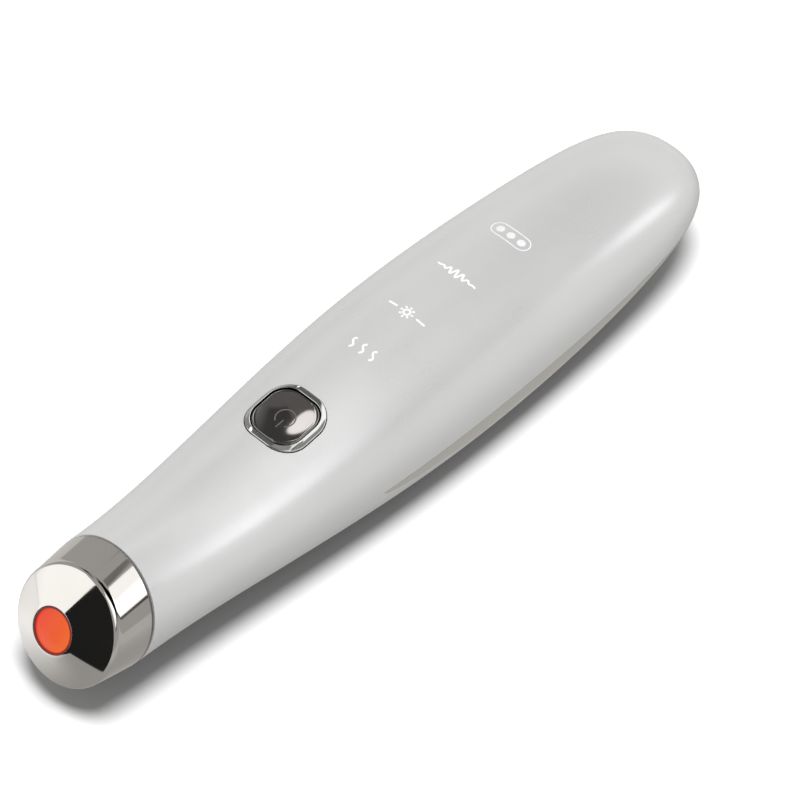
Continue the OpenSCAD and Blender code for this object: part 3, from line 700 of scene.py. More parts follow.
@dataclass
class Button:
    """The rounded square button: its hole, bright rim and dished smoked cap."""
    x: float = 38.0
    size: float = 9.0
    corner: float = 3.15
    gap: float = 0.15
    rim_w: float = 0.8
    proud: float = 0.15
    sunk: float = 0.1
    dish: float = 0.45
    floor: float = 5.6
    rim_stand: float = 0.24
    rim_round: tuple[float, float] = (0.1, 0.12)
    rim_bow: float = 1.3
    slot_w: float = 0.12
    slot_floor: float = 3.1
    cap_round: float = 0.3
    cap_floor: float = 4.75
    flange_w: float = 0.5
    flange_floor: float = 4.7
    flange_top: float = 5.5
    mark_r: float = 1.55
    mark_line: float = 0.2
    mark_thick: float = 0.012
    around: int = 160

    def slope(self) -> float:
        """Slope of the ridge across the button: rise over run between two points of it."""
        ends = self.ridge(self.x + np.array([-4.0, 4.0]))
        return float(ends[1] - ends[0]) / 8

    def ridge(self, x: np.ndarray) -> np.ndarray:
        """Height of the ridge, the parting height plus the rise."""
        return FORM.parting(x) + FORM.rise(x)

    def face(self, x: np.ndarray) -> np.ndarray:
        """Height of the tilted plane that the button's face follows."""
        return self.ridge(np.array([self.x]))[0] + self.slope() * (x - self.x)

    def dish_r(self) -> float:
        """Radius of the dish's ball: (half size^2 + depth^2) / (2 depth)."""
        return ((self.size / 2) ** 2 + self.dish ** 2) / (2 * self.dish)

    def outline(self, grow: np.ndarray) -> np.ndarray:
        """Rounded square: the corner arcs' centres plus the corner radius plus grow.

        Args:
            grow: how far each ring lies outside the button's edge.

        Returns:
            Rings by points by X and Y, about the wand's frame.
        """
        turn = np.linspace(0, 2 * math.pi, self.around, endpoint=False) + math.pi / 4
        run = (turn % (2 * math.pi)) / (math.pi / 2)
        quarter = np.floor(run)
        inside = self.size / 2 - self.corner
        # a quarter turn's middle 60% is the arc, its ends the straight sides
        share = run - quarter
        arc = np.clip((share - 0.2) / 0.6, 0, 1) * math.pi / 2
        lead = np.clip(1 - share / 0.2, 0, 1)
        tail = np.clip((share - 0.8) / 0.2, 0, 1)
        r = self.corner + grow[:, None]
        px = inside + r * np.cos(arc) - inside * tail[None, :]
        py = inside + r * np.sin(arc) - inside * lead[None, :]
        spin = quarter * math.pi / 2
        x = px * np.cos(spin) - py * np.sin(spin)
        y = px * np.sin(spin) + py * np.cos(spin)
        return np.stack([x + self.x, y], axis=-1)

    def swept(self, grow: np.ndarray, height: np.ndarray, level: np.ndarray) -> np.ndarray:
        """Rings of a profile carried round the outline.

        Args:
            grow: distance of each ring outside the edge.
            height: height of each ring over the tilted face, or over Z = 0.
            level: 1 where the height counts from the face, 0 where from Z = 0.

        Returns:
            Rings by points in the wand's frame.
        """
        plan = self.outline(grow)
        z = level[:, None] * self.face(plan[..., 0]) + height[:, None]
        return np.concatenate([plan, z[..., None]], axis=-1)

    def rim(self) -> bpy.types.Object:
        """The rim: its inner edge lies level with the cap, its outer edge on the shell.

        Between them the height runs as the share of the width to the power of the
        bow, so the rim is a flat line fore and aft and a wide slope on both sides.

        Returns:
            The closed ring.
        """
        a = np.linspace(0, math.pi / 2, 6)
        r_in, r_out = self.rim_round
        inner, outer = self.gap, self.gap + self.rim_w
        edge = self.outline(np.array([outer]))[0]
        plane = self.face(edge[:, 0]) + self.proud
        low = np.minimum(plane, FORM.back_height(edge[:, 0], edge[:, 1]) + self.rim_stand)
        share = np.linspace(0, 1, 12)
        grow = np.concatenate([[inner], inner + r_in * (1 - np.cos(a)),
                               inner + r_in + (self.rim_w - r_in - r_out) * share[1:],
                               outer - r_out * (1 - np.sin(a[1:])), [outer]])
        slide = np.concatenate([np.zeros(7), share[1:] ** self.rim_bow, np.ones(6)])
        sink = np.concatenate([[0], r_in * (1 - np.sin(a)), np.zeros(11),
                               r_out * (1 - np.cos(a[1:])), [0]])
        plan = self.outline(grow)
        top = self.face(plan[..., 0]) + self.proud
        z = top + slide[:, None] * (low - plane)[None, :] - sink[:, None]
        z[[0, -1]] = self.floor
        rings = np.concatenate([plan, z[..., None]], axis=-1)
        obj = mesh_object("button_rim", rings,
                          grid_faces(len(rings), self.around, wrap_rows=True))
        RIM.dress(obj)
        return obj

    def cap(self) -> bpy.types.Object:
        """The cap: a spherical dish inside a rounded edge, on its straight wall.

        Returns:
            The closed cap.
        """
        top = self.proud - self.sunk
        ball = self.dish_r()
        shares = np.linspace(0, 1, 34)
        a = np.linspace(0, math.pi / 2, 8)[1:]
        r = self.cap_round
        flat_edge = self.outline(np.array([-r]))[0]
        centre = np.array([self.x, 0.0])
        plan = centre + shares[:, None, None] * (flat_edge - centre)[None]
        away = np.linalg.norm(plan - centre, axis=-1)
        depth = np.sqrt(ball ** 2 - np.minimum(away, self.size / 2) ** 2)
        sunk = np.minimum(0, (ball - self.dish) - depth)
        dish = np.concatenate([plan, (self.face(plan[..., 0]) + top + sunk)[..., None]], axis=-1)
        drop_at_edge = (dish[-1, :, 2] - self.face(flat_edge[:, 0]) - top)[None, :]
        edge = self.swept(-r + r * np.sin(a), top - r * (1 - np.cos(a)), np.ones(7))
        edge[..., 2] += drop_at_edge * np.cos(a)[:, None]
        skirt = self.swept(np.array([0.0, -1.0]), np.full(2, self.cap_floor), np.zeros(2))
        base = np.repeat(np.array([[[self.x, 0, self.cap_floor]]]), self.around, axis=1)
        rings = np.concatenate([dish, edge, skirt, base])
        obj = mesh_object("button_face", rings, grid_faces(len(rings), self.around))
        SMOKED.dress(obj)
        return obj

    def flange(self) -> bpy.types.Object:
        """The flange under the cap, which the rim keeps in.

        Returns:
            The closed ring.
        """
        low, high, out = self.flange_floor, self.flange_top, self.flange_w
        rings = self.swept(np.array([-2, out, out, -2]), np.array([low, low, high, high]),
                           np.zeros(4))
        obj = mesh_object("button_flange", rings, grid_faces(4, self.around, wrap_rows=True))
        bevelled(obj, 0.1)
        BLACK.dress(obj)
        return obj

    def cutter(self) -> bpy.types.Object:
        """The prism that opens the back shell for the rim.

        Returns:
            The closed prism, which reaches well over the back.
        """
        out = self.gap + self.rim_w + self.slot_w
        rings = self.swept(np.array([out, out]), np.array([self.slot_floor, 20.0]), np.zeros(2))
        count = self.around
        faces = grid_faces(2, count).tolist()
        faces += [list(range(count)), list(range(2 * count - 1, count - 1, -1))]
        return mesh_object("button_cutter", rings, faces)

    def power_mark(self) -> bpy.types.Object:
        """A generic power mark: an open ring with a bar, laid on the dish.

        Returns:
            The mark.
        """
        ring = np.linspace(math.radians(-55), math.radians(235), 40)
        strokes = [self.mark_r * np.stack([np.cos(ring), -np.sin(ring)], axis=-1),
                   np.stack([np.zeros(8), np.linspace(0.4, 2.1, 8)], axis=-1)]
        ball = self.dish_r()

        def lay(p: np.ndarray) -> np.ndarray:
            """Puts flat points on the dish: the face's height plus the ball's depth.

            Args:
                p: points across and towards the head.

            Returns:
                Points in the wand's frame.
            """
            x, y = self.x - p[..., 1], -p[..., 0]
            depth = np.sqrt(ball ** 2 - (x - self.x) ** 2 - y ** 2)
            z = self.face(x) + self.proud - self.sunk + (ball - self.dish) - depth
            return np.stack([x, y, z], axis=-1)
        obj = ribbons("power_mark", strokes, self.mark_line, lay, self.mark_thick)
        DARK_INK.dress(obj)
        return obj

    def build(self) -> list[Piece]:
        """Makes the button's pieces.

        Returns:
            The pieces, ready to settle.
        """
        return [Piece(self.rim(), "wand", "bright_rim", ("button_bezel",)),
                Piece(self.cap(), "button", "smoked_button", ("button_cap",)),
                Piece(self.flange(), "button", "smoked_button"),
                Piece(self.power_mark(), "button", "smoked_button")]


def ribbons(name: str, strokes: list[np.ndarray], width: float, lay: Lay, thick: float
            ) -> bpy.types.Object:
    """Printed strokes: a flat band of the given width along each line, laid on a skin.

    Args:
        name: the object's name.
        strokes: lines of flat points.
        width: width of the band.
        lay: turns flat points into points on the skin.
        thick: how far the print stands over the skin, and as far into it.

    Returns:
        The object, one closed band a stroke.
    """
    points, faces, start = [], [], 0
    for line in strokes:
        along = np.gradient(line, axis=0)
        along /= np.linalg.norm(along, axis=1)[:, None]
        side = np.stack([-along[:, 1], along[:, 0]], axis=-1) * width / 2
        left, right = lay(line + side), lay(line - side)
        up, down = np.array([0, 0, thick]), np.array([0, 0, -thick])
        rows = np.stack([left + down, left + up, right + up, right + down], axis=1)
        count = len(line)
        faces += (grid_faces(count, 4) + start).tolist()
        faces += [[start, start + 1, start + 2, start + 3],
                  [start + 4 * count - k for k in (1, 2, 3, 4)]]
        points.append(rows.reshape(-1, 3))
        start += 4 * count
    return mesh_object(name, np.concatenate(points), faces, merge=1e-6)


@dataclass
class Shells:
    """The two pearl shells, from the joint to the tail."""
    gap: float = 0.4
    stations: int = 230
    around: int = 60
    edge: float = 0.13
    under_trim: float = 0.02
    tail_wall: float = 3.6
    foot_wall: float = 1.0
    port_x: float = 110.0
    port_l: float = 3.1
    port_w: float = 8.1

    def shell(self, name: str, side: Side) -> bpy.types.Object:
        """One shell: the skin out over its half and the inner wall back.

        Each row is a loop, the half section of the skin and then that of the wall's
        inside, both from the joint plane; the belly is cut level by its foot.

        Args:
            name: the object's name.
            side: which half.

        Returns:
            The shell.
        """
        start = 0.0 if side is Side.BACK else math.pi
        angle = start + np.linspace(0, math.pi, self.around)
        share = spread(self.stations, 1.35)
        # the belly lies a hair's breadth under the trim that covers it
        sunk = self.under_trim if side is Side.BELLY else 0.0
        outer = FORM.skin(FORM.from_joint(share, angle, self.gap, sunk), angle, sunk)
        inner = FORM.skin(FORM.from_joint(share, angle, self.gap, FORM.wall), angle, FORM.wall)
        inner[..., 2] = np.where(inner[..., 0] > FORM.body_len - self.tail_wall,
                                 FORM.parting(inner[..., 0]), inner[..., 2])
        if side is Side.BELLY:
            outer[..., 2] = np.maximum(outer[..., 2], FORM.foot_z)
            inner[..., 2] = np.maximum(inner[..., 2], FORM.foot_z + self.foot_wall)
        loops = np.concatenate([outer, inner[:, ::-1]], axis=1)
        faces = np.concatenate([grid_faces(self.stations, 2 * self.around),
                                fan_cap(np.arange(2 * self.around))])
        return mesh_object(name, loops, faces)

    def port_cutter(self) -> bpy.types.Object:
        """The prism that opens the belly for the charge port, a superellipse in plan.

        Returns:
            The closed prism, from under the belly to inside it.
        """
        count = 48
        turn = np.linspace(0, 2 * math.pi, count, endpoint=False)
        c, s = np.cos(turn), np.sin(turn)
        plan = np.stack([self.port_x + self.port_l / 2 * np.sign(c) * np.abs(c) ** 0.35,
                         self.port_w / 2 * np.sign(s) * np.abs(s) ** 0.25], axis=-1)
        low = np.concatenate([plan, np.full((count, 1), -20.0)], axis=1)
        high = np.concatenate([plan, np.full((count, 1), -3.0)], axis=1)
        faces = grid_faces(2, count).tolist()
        faces += [list(range(count)), list(range(2 * count - 1, count - 1, -1))]
        return mesh_object("port_cutter", np.stack([low, high]), faces)

    def build(self, button: Button) -> list[Piece]:
        """Makes both shells and cuts the button's and the port's openings.

        Args:
            button: the button whose rim the back shell holds.

        Returns:
            The pieces.
        """
        back = self.shell("back_shell", Side.BACK)
        cut_out(back, button.cutter())
        belly = self.shell("belly_shell", Side.BELLY)
        cut_out(belly, self.port_cutter())
        for obj in (back, belly):
            obj.data.shade_smooth()
            obj.data.set_sharp_from_angle(angle=math.radians(35))
            bevelled(obj, self.edge)
            PEARL.dress(obj)
        return [Piece(back, "wand", "pearl_shell", ("upper_shell",)),
                Piece(belly, "wand", "pearl_shell", ("lower_shell",))]


@dataclass
class Trim:
    """The pointed trim band under the parting line, round the tail."""
    start: float = 45.0
    height: float = 3.4
    grow: float = 20.0
    thick: float = 1.0
    inset: float = 0.004
    edge: float = 0.22
    stations: int = 150
    around: int = 14

    def band(self, hand: int) -> tuple[np.ndarray, np.ndarray]:
        """One side's band: skin from the parting line down to its lower edge and back.

        The lower edge lies at height times the root of the run over grow; where the
        belly is shallower than that, the band takes in the whole belly.

        Args:
            hand: 1 for +Y, -1 for -Y.

        Returns:
            Points and faces.
        """
        x = self.start + (FORM.body_len - self.start) * spread(self.stations, 1.5)
        tall = self.height * np.sqrt(np.clip((x - self.start) / self.grow, 0, 1))
        share = np.clip(tall / np.maximum(FORM.drop(x), 1e-6), 0, 1)
        stop = np.arcsin(np.clip(share ** ((2 + FORM.belly_square) / 2), 0, 1))
        angle = -(stop[:, None] * np.linspace(0.0, 1, self.around)[None, :])
        outer = FORM.skin(x[:, None], angle, self.inset)
        inner = FORM.skin(x[:, None], angle, self.thick)
        loops = np.concatenate([outer, inner[:, ::-1]], axis=1)
        loops[..., 1] *= hand
        faces = np.concatenate([grid_faces(self.stations, 2 * self.around),
                                fan_cap(np.arange(2 * self.around))])
        return loops, faces

    def build(self) -> list[Piece]:
        """Makes the trim from its two sides.

        Returns:
            The piece.
        """
        near, faces = self.band(-1)
        far, _ = self.band(1)
        points = np.concatenate([near.reshape(-1, 3), far.reshape(-1, 3)])
        obj = mesh_object("trim_band", points,
                          np.concatenate([faces, faces + near.shape[0] * near.shape[1]]))
        bevelled(obj, self.edge)
        TRIM.dress(obj)
        return [Piece(obj, "wand", "satin_trim", ("trim_strip",))]


@dataclass
class Head:
    """The plated head, its lens and the tilted frame they are turned in."""
    collar_len: float = 6.3
    lift: float = 0.6
    face_tilt: float = 27.5
    face_r: float = 9.4
    shoulder_r: float = 1.0
    cone_h: float = 3.8
    wall: float = 1.0
    lens_r: float = 3.3
    seal_t: float = 0.3
    land: float = 0.12
    seat_out: float = 2.4
    floor_out: float = 0.2
    crown: float = 0.5
    crown_under: float = 0.2
    bore_r: float = 4.2
    lens_flange: float = 0.8
    around: int = 144

    def turn(self) -> np.ndarray:
        """Angles round the head."""
        return np.linspace(0, 2 * math.pi, self.around, endpoint=False)

    def collar(self, t: np.ndarray, inset: np.ndarray) -> np.ndarray:
        """Rings of the collar: tilt, centre and radii run in a line from joint to shoulder.

        Args:
            t: 0 at the joint to 1 at the shoulder.
            inset: depth of each ring under the skin.

        Returns:
            Rings by points in the wand's frame.
        """
        c, s = np.cos(self.turn())[None, :], np.sin(self.turn())[None, :]
        joint_rise = FORM.neck_r / math.cos(
            math.radians(FORM.joint_tilt) + float(FORM.slope(np.zeros(1))[0]))
        t, inset = t[:, None], inset[:, None]
        tilt = np.radians(FORM.joint_tilt + (self.face_tilt - FORM.joint_tilt) * t)
        wide = FORM.neck_r + (self.face_r - FORM.neck_r) * t - inset
        tall = joint_rise + (self.face_r - joint_rise) * t - inset
        return np.stack([-self.collar_len * t + np.sin(tilt) * tall * s, wide * c,
                         self.lift * t + np.cos(tilt) * tall * s], axis=-1)

    def turned(self, out: np.ndarray, r: np.ndarray) -> np.ndarray:
        """Rings about the face's axis.

        Args:
            out: distance of each ring out from the shoulder's centre.
            r: radius of each ring.

        Returns:
            Rings by points in the wand's frame.
        """
        c, s = np.cos(self.turn())[None, :], np.sin(self.turn())[None, :]
        tilt = math.radians(self.face_tilt)
        out, r = out[:, None], r[:, None]
        return np.stack([-self.collar_len - math.cos(tilt) * out + math.sin(tilt) * r * s,
                         r * c + 0 * out,
                         self.lift + math.sin(tilt) * out + math.cos(tilt) * r * s], axis=-1)

    def cap(self) -> bpy.types.Object:
        """The plated cap: collar, rounded shoulder, cone, lens seat and its inside.

        Returns:
            The closed cap.
        """
        t = np.linspace(0, 1, 16)
        edge = self.collar(np.array([0, 0.012, 0.03]), np.array([0.25, 0.07, 0.0]))
        skin = self.collar(t[1:], np.zeros(15))
        rim_r = self.lens_r + self.seal_t + self.land
        fall = self.face_r - self.shoulder_r - rim_r
        # the shoulder turns until the cone leaves it in its own direction
        turn = (math.pi / 2 + math.atan(fall / self.cone_h)
                - math.acos(self.shoulder_r / math.hypot(self.cone_h, fall)))
        a = np.linspace(0, turn, 15)[1:]
        arc_out = self.shoulder_r * np.sin(a)
        arc_r = self.face_r - self.shoulder_r * (1 - np.cos(a))
        cone = np.linspace(0, 1, 12)[1:]
        cone_out = arc_out[-1] + (self.cone_h - arc_out[-1]) * cone
        cone_r = arc_r[-1] + (rim_r - arc_r[-1]) * cone
        hole = self.lens_r + self.seal_t
        seat_out = np.array([self.cone_h, self.cone_h - 0.05, self.seat_out, self.seat_out,
                             self.floor_out, self.floor_out])
        seat_r = np.array([hole + 0.05, hole, hole, self.bore_r, self.bore_r,
                           self.face_r - self.wall])
        inside = self.collar(np.array([1, 0.5, 0.0]), np.full(3, self.wall))
        rings = np.concatenate([edge, skin, self.turned(arc_out, arc_r),
                                self.turned(cone_out, cone_r),
                                self.turned(seat_out, seat_r), inside])
        obj = mesh_object("plated_head", rings, grid_faces(len(rings), self.around, wrap_rows=True),
                          sharp=32)
        HEAD.dress(obj)
        return obj

    def lens(self) -> bpy.types.Object:
        """The lens: a dome that ends just under the head's land, on its flange.

        Returns:
            The closed lens.
        """
        rise = self.crown + self.crown_under
        ball = (self.lens_r ** 2 + rise ** 2) / (2 * rise)
        a = np.linspace(0, math.asin(self.lens_r / ball), 16)
        dome_r = ball * np.sin(a)
        dome_out = self.cone_h + self.crown - ball * (1 - np.cos(a))
        wide = self.lens_r + self.lens_flange
        flange = np.array([0.02, 0.0, -self.lens_flange, -self.lens_flange])
        out = np.concatenate([dome_out, self.seat_out + flange])
        r = np.concatenate([dome_r, [self.lens_r, wide, wide, 0.0]])
        rings = self.turned(out, r)
        obj = mesh_object("red_lens", rings, grid_faces(len(rings), self.around))
        LENS.dress(obj)
        return obj

    def build(self) -> list[Piece]:
        """Makes the head's pieces.

        Returns:
            The pieces.
        """
        return [Piece(self.cap(), "wand", "polished_head", ("head_cap",)),
                Piece(self.lens(), "wand", "red_lens", ("lens",))]


class Mark(Enum):
    """The printed marks on the back, by what they stand for."""
    WARMTH = "warmth"
    LIGHT = "light"
    PULSE = "pulse"


@dataclass
class Marks:
    """The printed marks of the three modes, and the charge lights in their outline."""
    places: dict[Mark, float] = field(default_factory=lambda: {
        Mark.WARMTH: 54.5, Mark.LIGHT: 64.0, Mark.PULSE: 75.0})
    charge_x: float = 87.3
    charge_line: float = 0.2
    capsule_half: float = 2.2
    capsule_r: float = 1.4
    dot_step: float = 2.1
    line: float = 0.32
    thick: float = 0.006

    def strokes(self, mark: Mark) -> list[np.ndarray]:
        """Lines of a mark, flat, across and towards the head.

        Args:
            mark: which mark.

        Returns:
            The lines' points.
        """
        s = np.linspace(-1, 1, 24)
        if mark is Mark.WARMTH:
            # three upright waves, a sine of the height
            return [np.stack([k + 0.34 * np.sin(s * math.pi), 1.0 * s], axis=-1)
                    for k in (-2.0, 0.0, 2.0)]
        if mark is Mark.LIGHT:
            # a ring between short rays, and a dash on each side
            ring = np.linspace(0, 2 * math.pi, 33)
            lines = [0.52 * np.stack([np.cos(ring), np.sin(ring)], axis=-1)]
            for k in range(8):
                a = k * math.pi / 4
                run = np.linspace(0.82, 1.2, 4)
                lines.append(np.stack([run * math.cos(a), run * math.sin(a)], axis=-1))
            for k in (-1, 1):
                lines.append(np.stack([k * np.linspace(1.9, 3.6, 8), np.zeros(8)], axis=-1))
            return lines
        # a pulse: a sine whose height swells in the middle
        run = np.linspace(-3.8, 3.8, 90)
        tall = 0.8 * np.exp(-(run / 2.0) ** 2)
        return [np.stack([run, tall * np.sin(run * 5.2)], axis=-1)]

    def lay_at(self, x: float) -> Lay:
        """A function that lays flat points on the back about the station x.

        Args:
            x: where the mark's middle lies.

        Returns:
            The function.
        """
        def lay(p: np.ndarray) -> np.ndarray:
            """Puts flat points on the back.

            Args:
                p: points across and towards the head.

            Returns:
                Points in the wand's frame.
            """
            px, py = x - p[..., 1], -p[..., 0]
            return np.stack([px, py, FORM.back_height(px, py)], axis=-1)
        return lay

    def capsule(self) -> list[np.ndarray]:
        """The outline round the charge lights: two half rings and two sides.

        Returns:
            The closed line, in a list.
        """
        turn = np.linspace(-math.pi / 2, math.pi / 2, 16)
        r, reach = self.capsule_r, self.capsule_half
        right = np.stack([reach + r * np.cos(turn), r * np.sin(turn)], axis=-1)
        side = np.linspace(reach, -reach, 24)[1:-1]
        half = np.concatenate([right, np.stack([side, r + 0 * side], axis=-1)])
        return [np.concatenate([half, -half, half[:1]])]

    def dot(self, y: float) -> tuple[np.ndarray, np.ndarray]:
        """A frosted dot: a low dome of rings about its middle, closed underneath.

        Args:
            y: where it lies across the back.

        Returns:
            Points and faces.
        """
        turn = np.linspace(0, 2 * math.pi, 28, endpoint=False)
        r = np.array([0.0, 0.35, 0.6, 0.7, 0.7, 0.0])[:, None]
        lift = np.array([0.05, 0.045, 0.035, 0.01, -0.05, -0.05])[:, None]
        px = self.charge_x + r * np.cos(turn)
        py = y + r * np.sin(turn)
        z = FORM.back_height(px, py) + lift
        return np.stack([px, py, z], axis=-1), grid_faces(6, 28)

    def build(self) -> list[Piece]:
        """Makes the marks and the lights.

        Returns:
            The pieces.
        """
        pieces = []
        for mark, x in self.places.items():
            obj = ribbons(f"{mark.value}_mark", self.strokes(mark), self.line,
                          self.lay_at(x), self.thick)
            INK.dress(obj)
            pieces.append(Piece(obj, "wand", "pearl_shell"))
        obj = ribbons("charge_outline", self.capsule(), self.charge_line,
                      self.lay_at(self.charge_x), self.thick)
        FAINT_INK.dress(obj)
        pieces.append(Piece(obj, "wand", "pearl_shell"))
        points, faces = [], []
        for k, y in enumerate((-self.dot_step, 0.0, self.dot_step)):
            p, f = self.dot(y)
            points.append(p.reshape(-1, 3))
            faces.append(f + k * len(points[0]))
        obj = mesh_object("charge_dots", np.concatenate(points), np.concatenate(faces))
        WINDOW.dress(obj)
        pieces.append(Piece(obj, "wand", "white_diode"))
        return pieces


# ---------------------------------------------------------------- studio

@dataclass(frozen=True)
class Panel:
    """A panel that only mirrors see: a patch of a sphere about a point of the wand.

    Azimuth and elevation are its ranges, in degrees, and fade the degrees over which it
    fades in from the low and high azimuth and the low and high elevation. Away is the
    sphere's radius and about its centre, in metres. Oval gives the lean and width of an
    oval panel. Only holds the starts of the names of the objects that show it, or nothing
    for all, and rise is the height over the floor of the part that lies there.
    """
    name: str
    azimuth: tuple[float, float]
    elevation: tuple[float, float]
    strength: float
    fade: tuple[float, float, float, float] = (0.5, 0.5, 0.5, 0.5)
    away: float = 0.6
    about: tuple[float, float, float] = (-0.063, 0.0, 0.013)
    tint: tuple[float, float, float] = (1.0, 1.0, 1.0)
    oval: tuple[float, float] | None = None
    only: tuple[str, ...] = ()
    rise: float = 0.0004
    oval_fade: float = 0.15
    count: int = 61

    def cover(self, az: np.ndarray, el: np.ndarray) -> np.ndarray:
        """How solid the panel is: smooth steps from its sides, or one from the oval's edge.

        Args:
            az: azimuth of each point, in degrees.
            el: elevation of each point, in degrees.

        Returns:
            A value from 0, clear, to 1, solid, for each point.
        """
        if self.oval is not None:
            lean, width = self.oval
            u = 2 * (az - np.mean(self.azimuth)) / (self.azimuth[1] - self.azimuth[0])
            v = 2 * (el - np.mean(self.elevation)) / (self.elevation[1] - self.elevation[0])
            return np.clip((1 - np.hypot(u, (v - lean * u) / width)) / self.oval_fade, 0, 1)
        sides = (az - self.azimuth[0], self.azimuth[1] - az,
                 el - self.elevation[0], self.elevation[1] - el)
        share = [np.clip(d / w, 0, 1) for d, w in zip(sides, self.fade)]
        return np.prod([f * f * (3 - 2 * f) for f in share], axis=0)

    def points(self, az: np.ndarray, el: np.ndarray) -> np.ndarray:
        """Points of the sphere; those under the floor slide in along their rays to it.

        Args:
            az: azimuth of each point, in degrees.
            el: elevation of each point, in degrees.

        Returns:
            Points in metres.
        """
        a, e = np.radians(az), np.radians(el)
        reach = np.full_like(e, self.away)
        low = e < -1e-6
        reach[low] = np.minimum(self.away, (self.about[2] - self.rise) / np.sin(-e[low]))
        rays = np.stack([np.cos(e) * np.cos(a), np.cos(e) * np.sin(a), np.sin(e)], axis=-1)
        return rays * reach[..., None] + np.array(self.about)

    def material(self) -> bpy.types.Material:
        """An even glow, mixed with clear by the cover stored on the panel's points.

        Returns:
            The material.
        """
        made = bpy.data.materials.new(self.name)
        made.use_nodes = True
        tree = made.node_tree
        tree.nodes.clear()
        out = tree.nodes.new("ShaderNodeOutputMaterial")
        mix = tree.nodes.new("ShaderNodeMixShader")
        clear = tree.nodes.new("ShaderNodeBsdfTransparent")
        glow = tree.nodes.new("ShaderNodeEmission")
        seen = tree.nodes.new("ShaderNodeAttribute")
        seen.attribute_name = "cover"
        glow.inputs["Color"].default_value = self.tint + (1.0,)
        glow.inputs["Strength"].default_value = self.strength
        tree.links.new(seen.outputs["Fac"], mix.inputs["Fac"])
        tree.links.new(clear.outputs["BSDF"], mix.inputs[1])
        tree.links.new(glow.outputs["Emission"], mix.inputs[2])
        tree.links.new(mix.outputs["Shader"], out.inputs["Surface"])
        return made

    def show_to(self, obj: bpy.types.Object, made: bpy.types.Material) -> None:
        """Lets the panel light only the objects whose names start as only says.

        Args:
            obj: the panel.
            made: its material.
        """
        made.cycles.emission_sampling = "FRONT_BACK"
        group = bpy.data.collections.new(f"{self.name}_shown_by")
        for piece in bpy.data.objects:
            if piece.name.startswith(self.only) and piece.type == "MESH" and piece != obj:
                group.objects.link(piece)
        obj.light_linking.receiver_collection = group

    def build(self) -> None:
        """Makes the panel, unseen by the camera and without shadow."""
        count = self.count
        az = np.linspace(*self.azimuth, count)[None, :] + np.zeros((count, 1))
        el = np.linspace(*self.elevation, count)[:, None] + np.zeros((1, count))
        mesh = bpy.data.meshes.new(self.name)
        mesh.from_pydata(self.points(az, el).reshape(-1, 3).tolist(), [],
                         grid_faces(count, count, wrap_columns=False).tolist())
        mesh.attributes.new("cover", "FLOAT", "POINT").data.foreach_set(
            "value", self.cover(az, el).reshape(-1).astype(np.float32))
        obj = bpy.data.objects.new(self.name, mesh)
        bpy.context.scene.collection.objects.link(obj)
        made = self.material()
        mesh.materials.append(made)
        if self.only:
            self.show_to(obj, made)
        obj.visible_camera = False
        obj.visible_diffuse = False
        obj.visible_shadow = False
        obj.visible_transmission = False


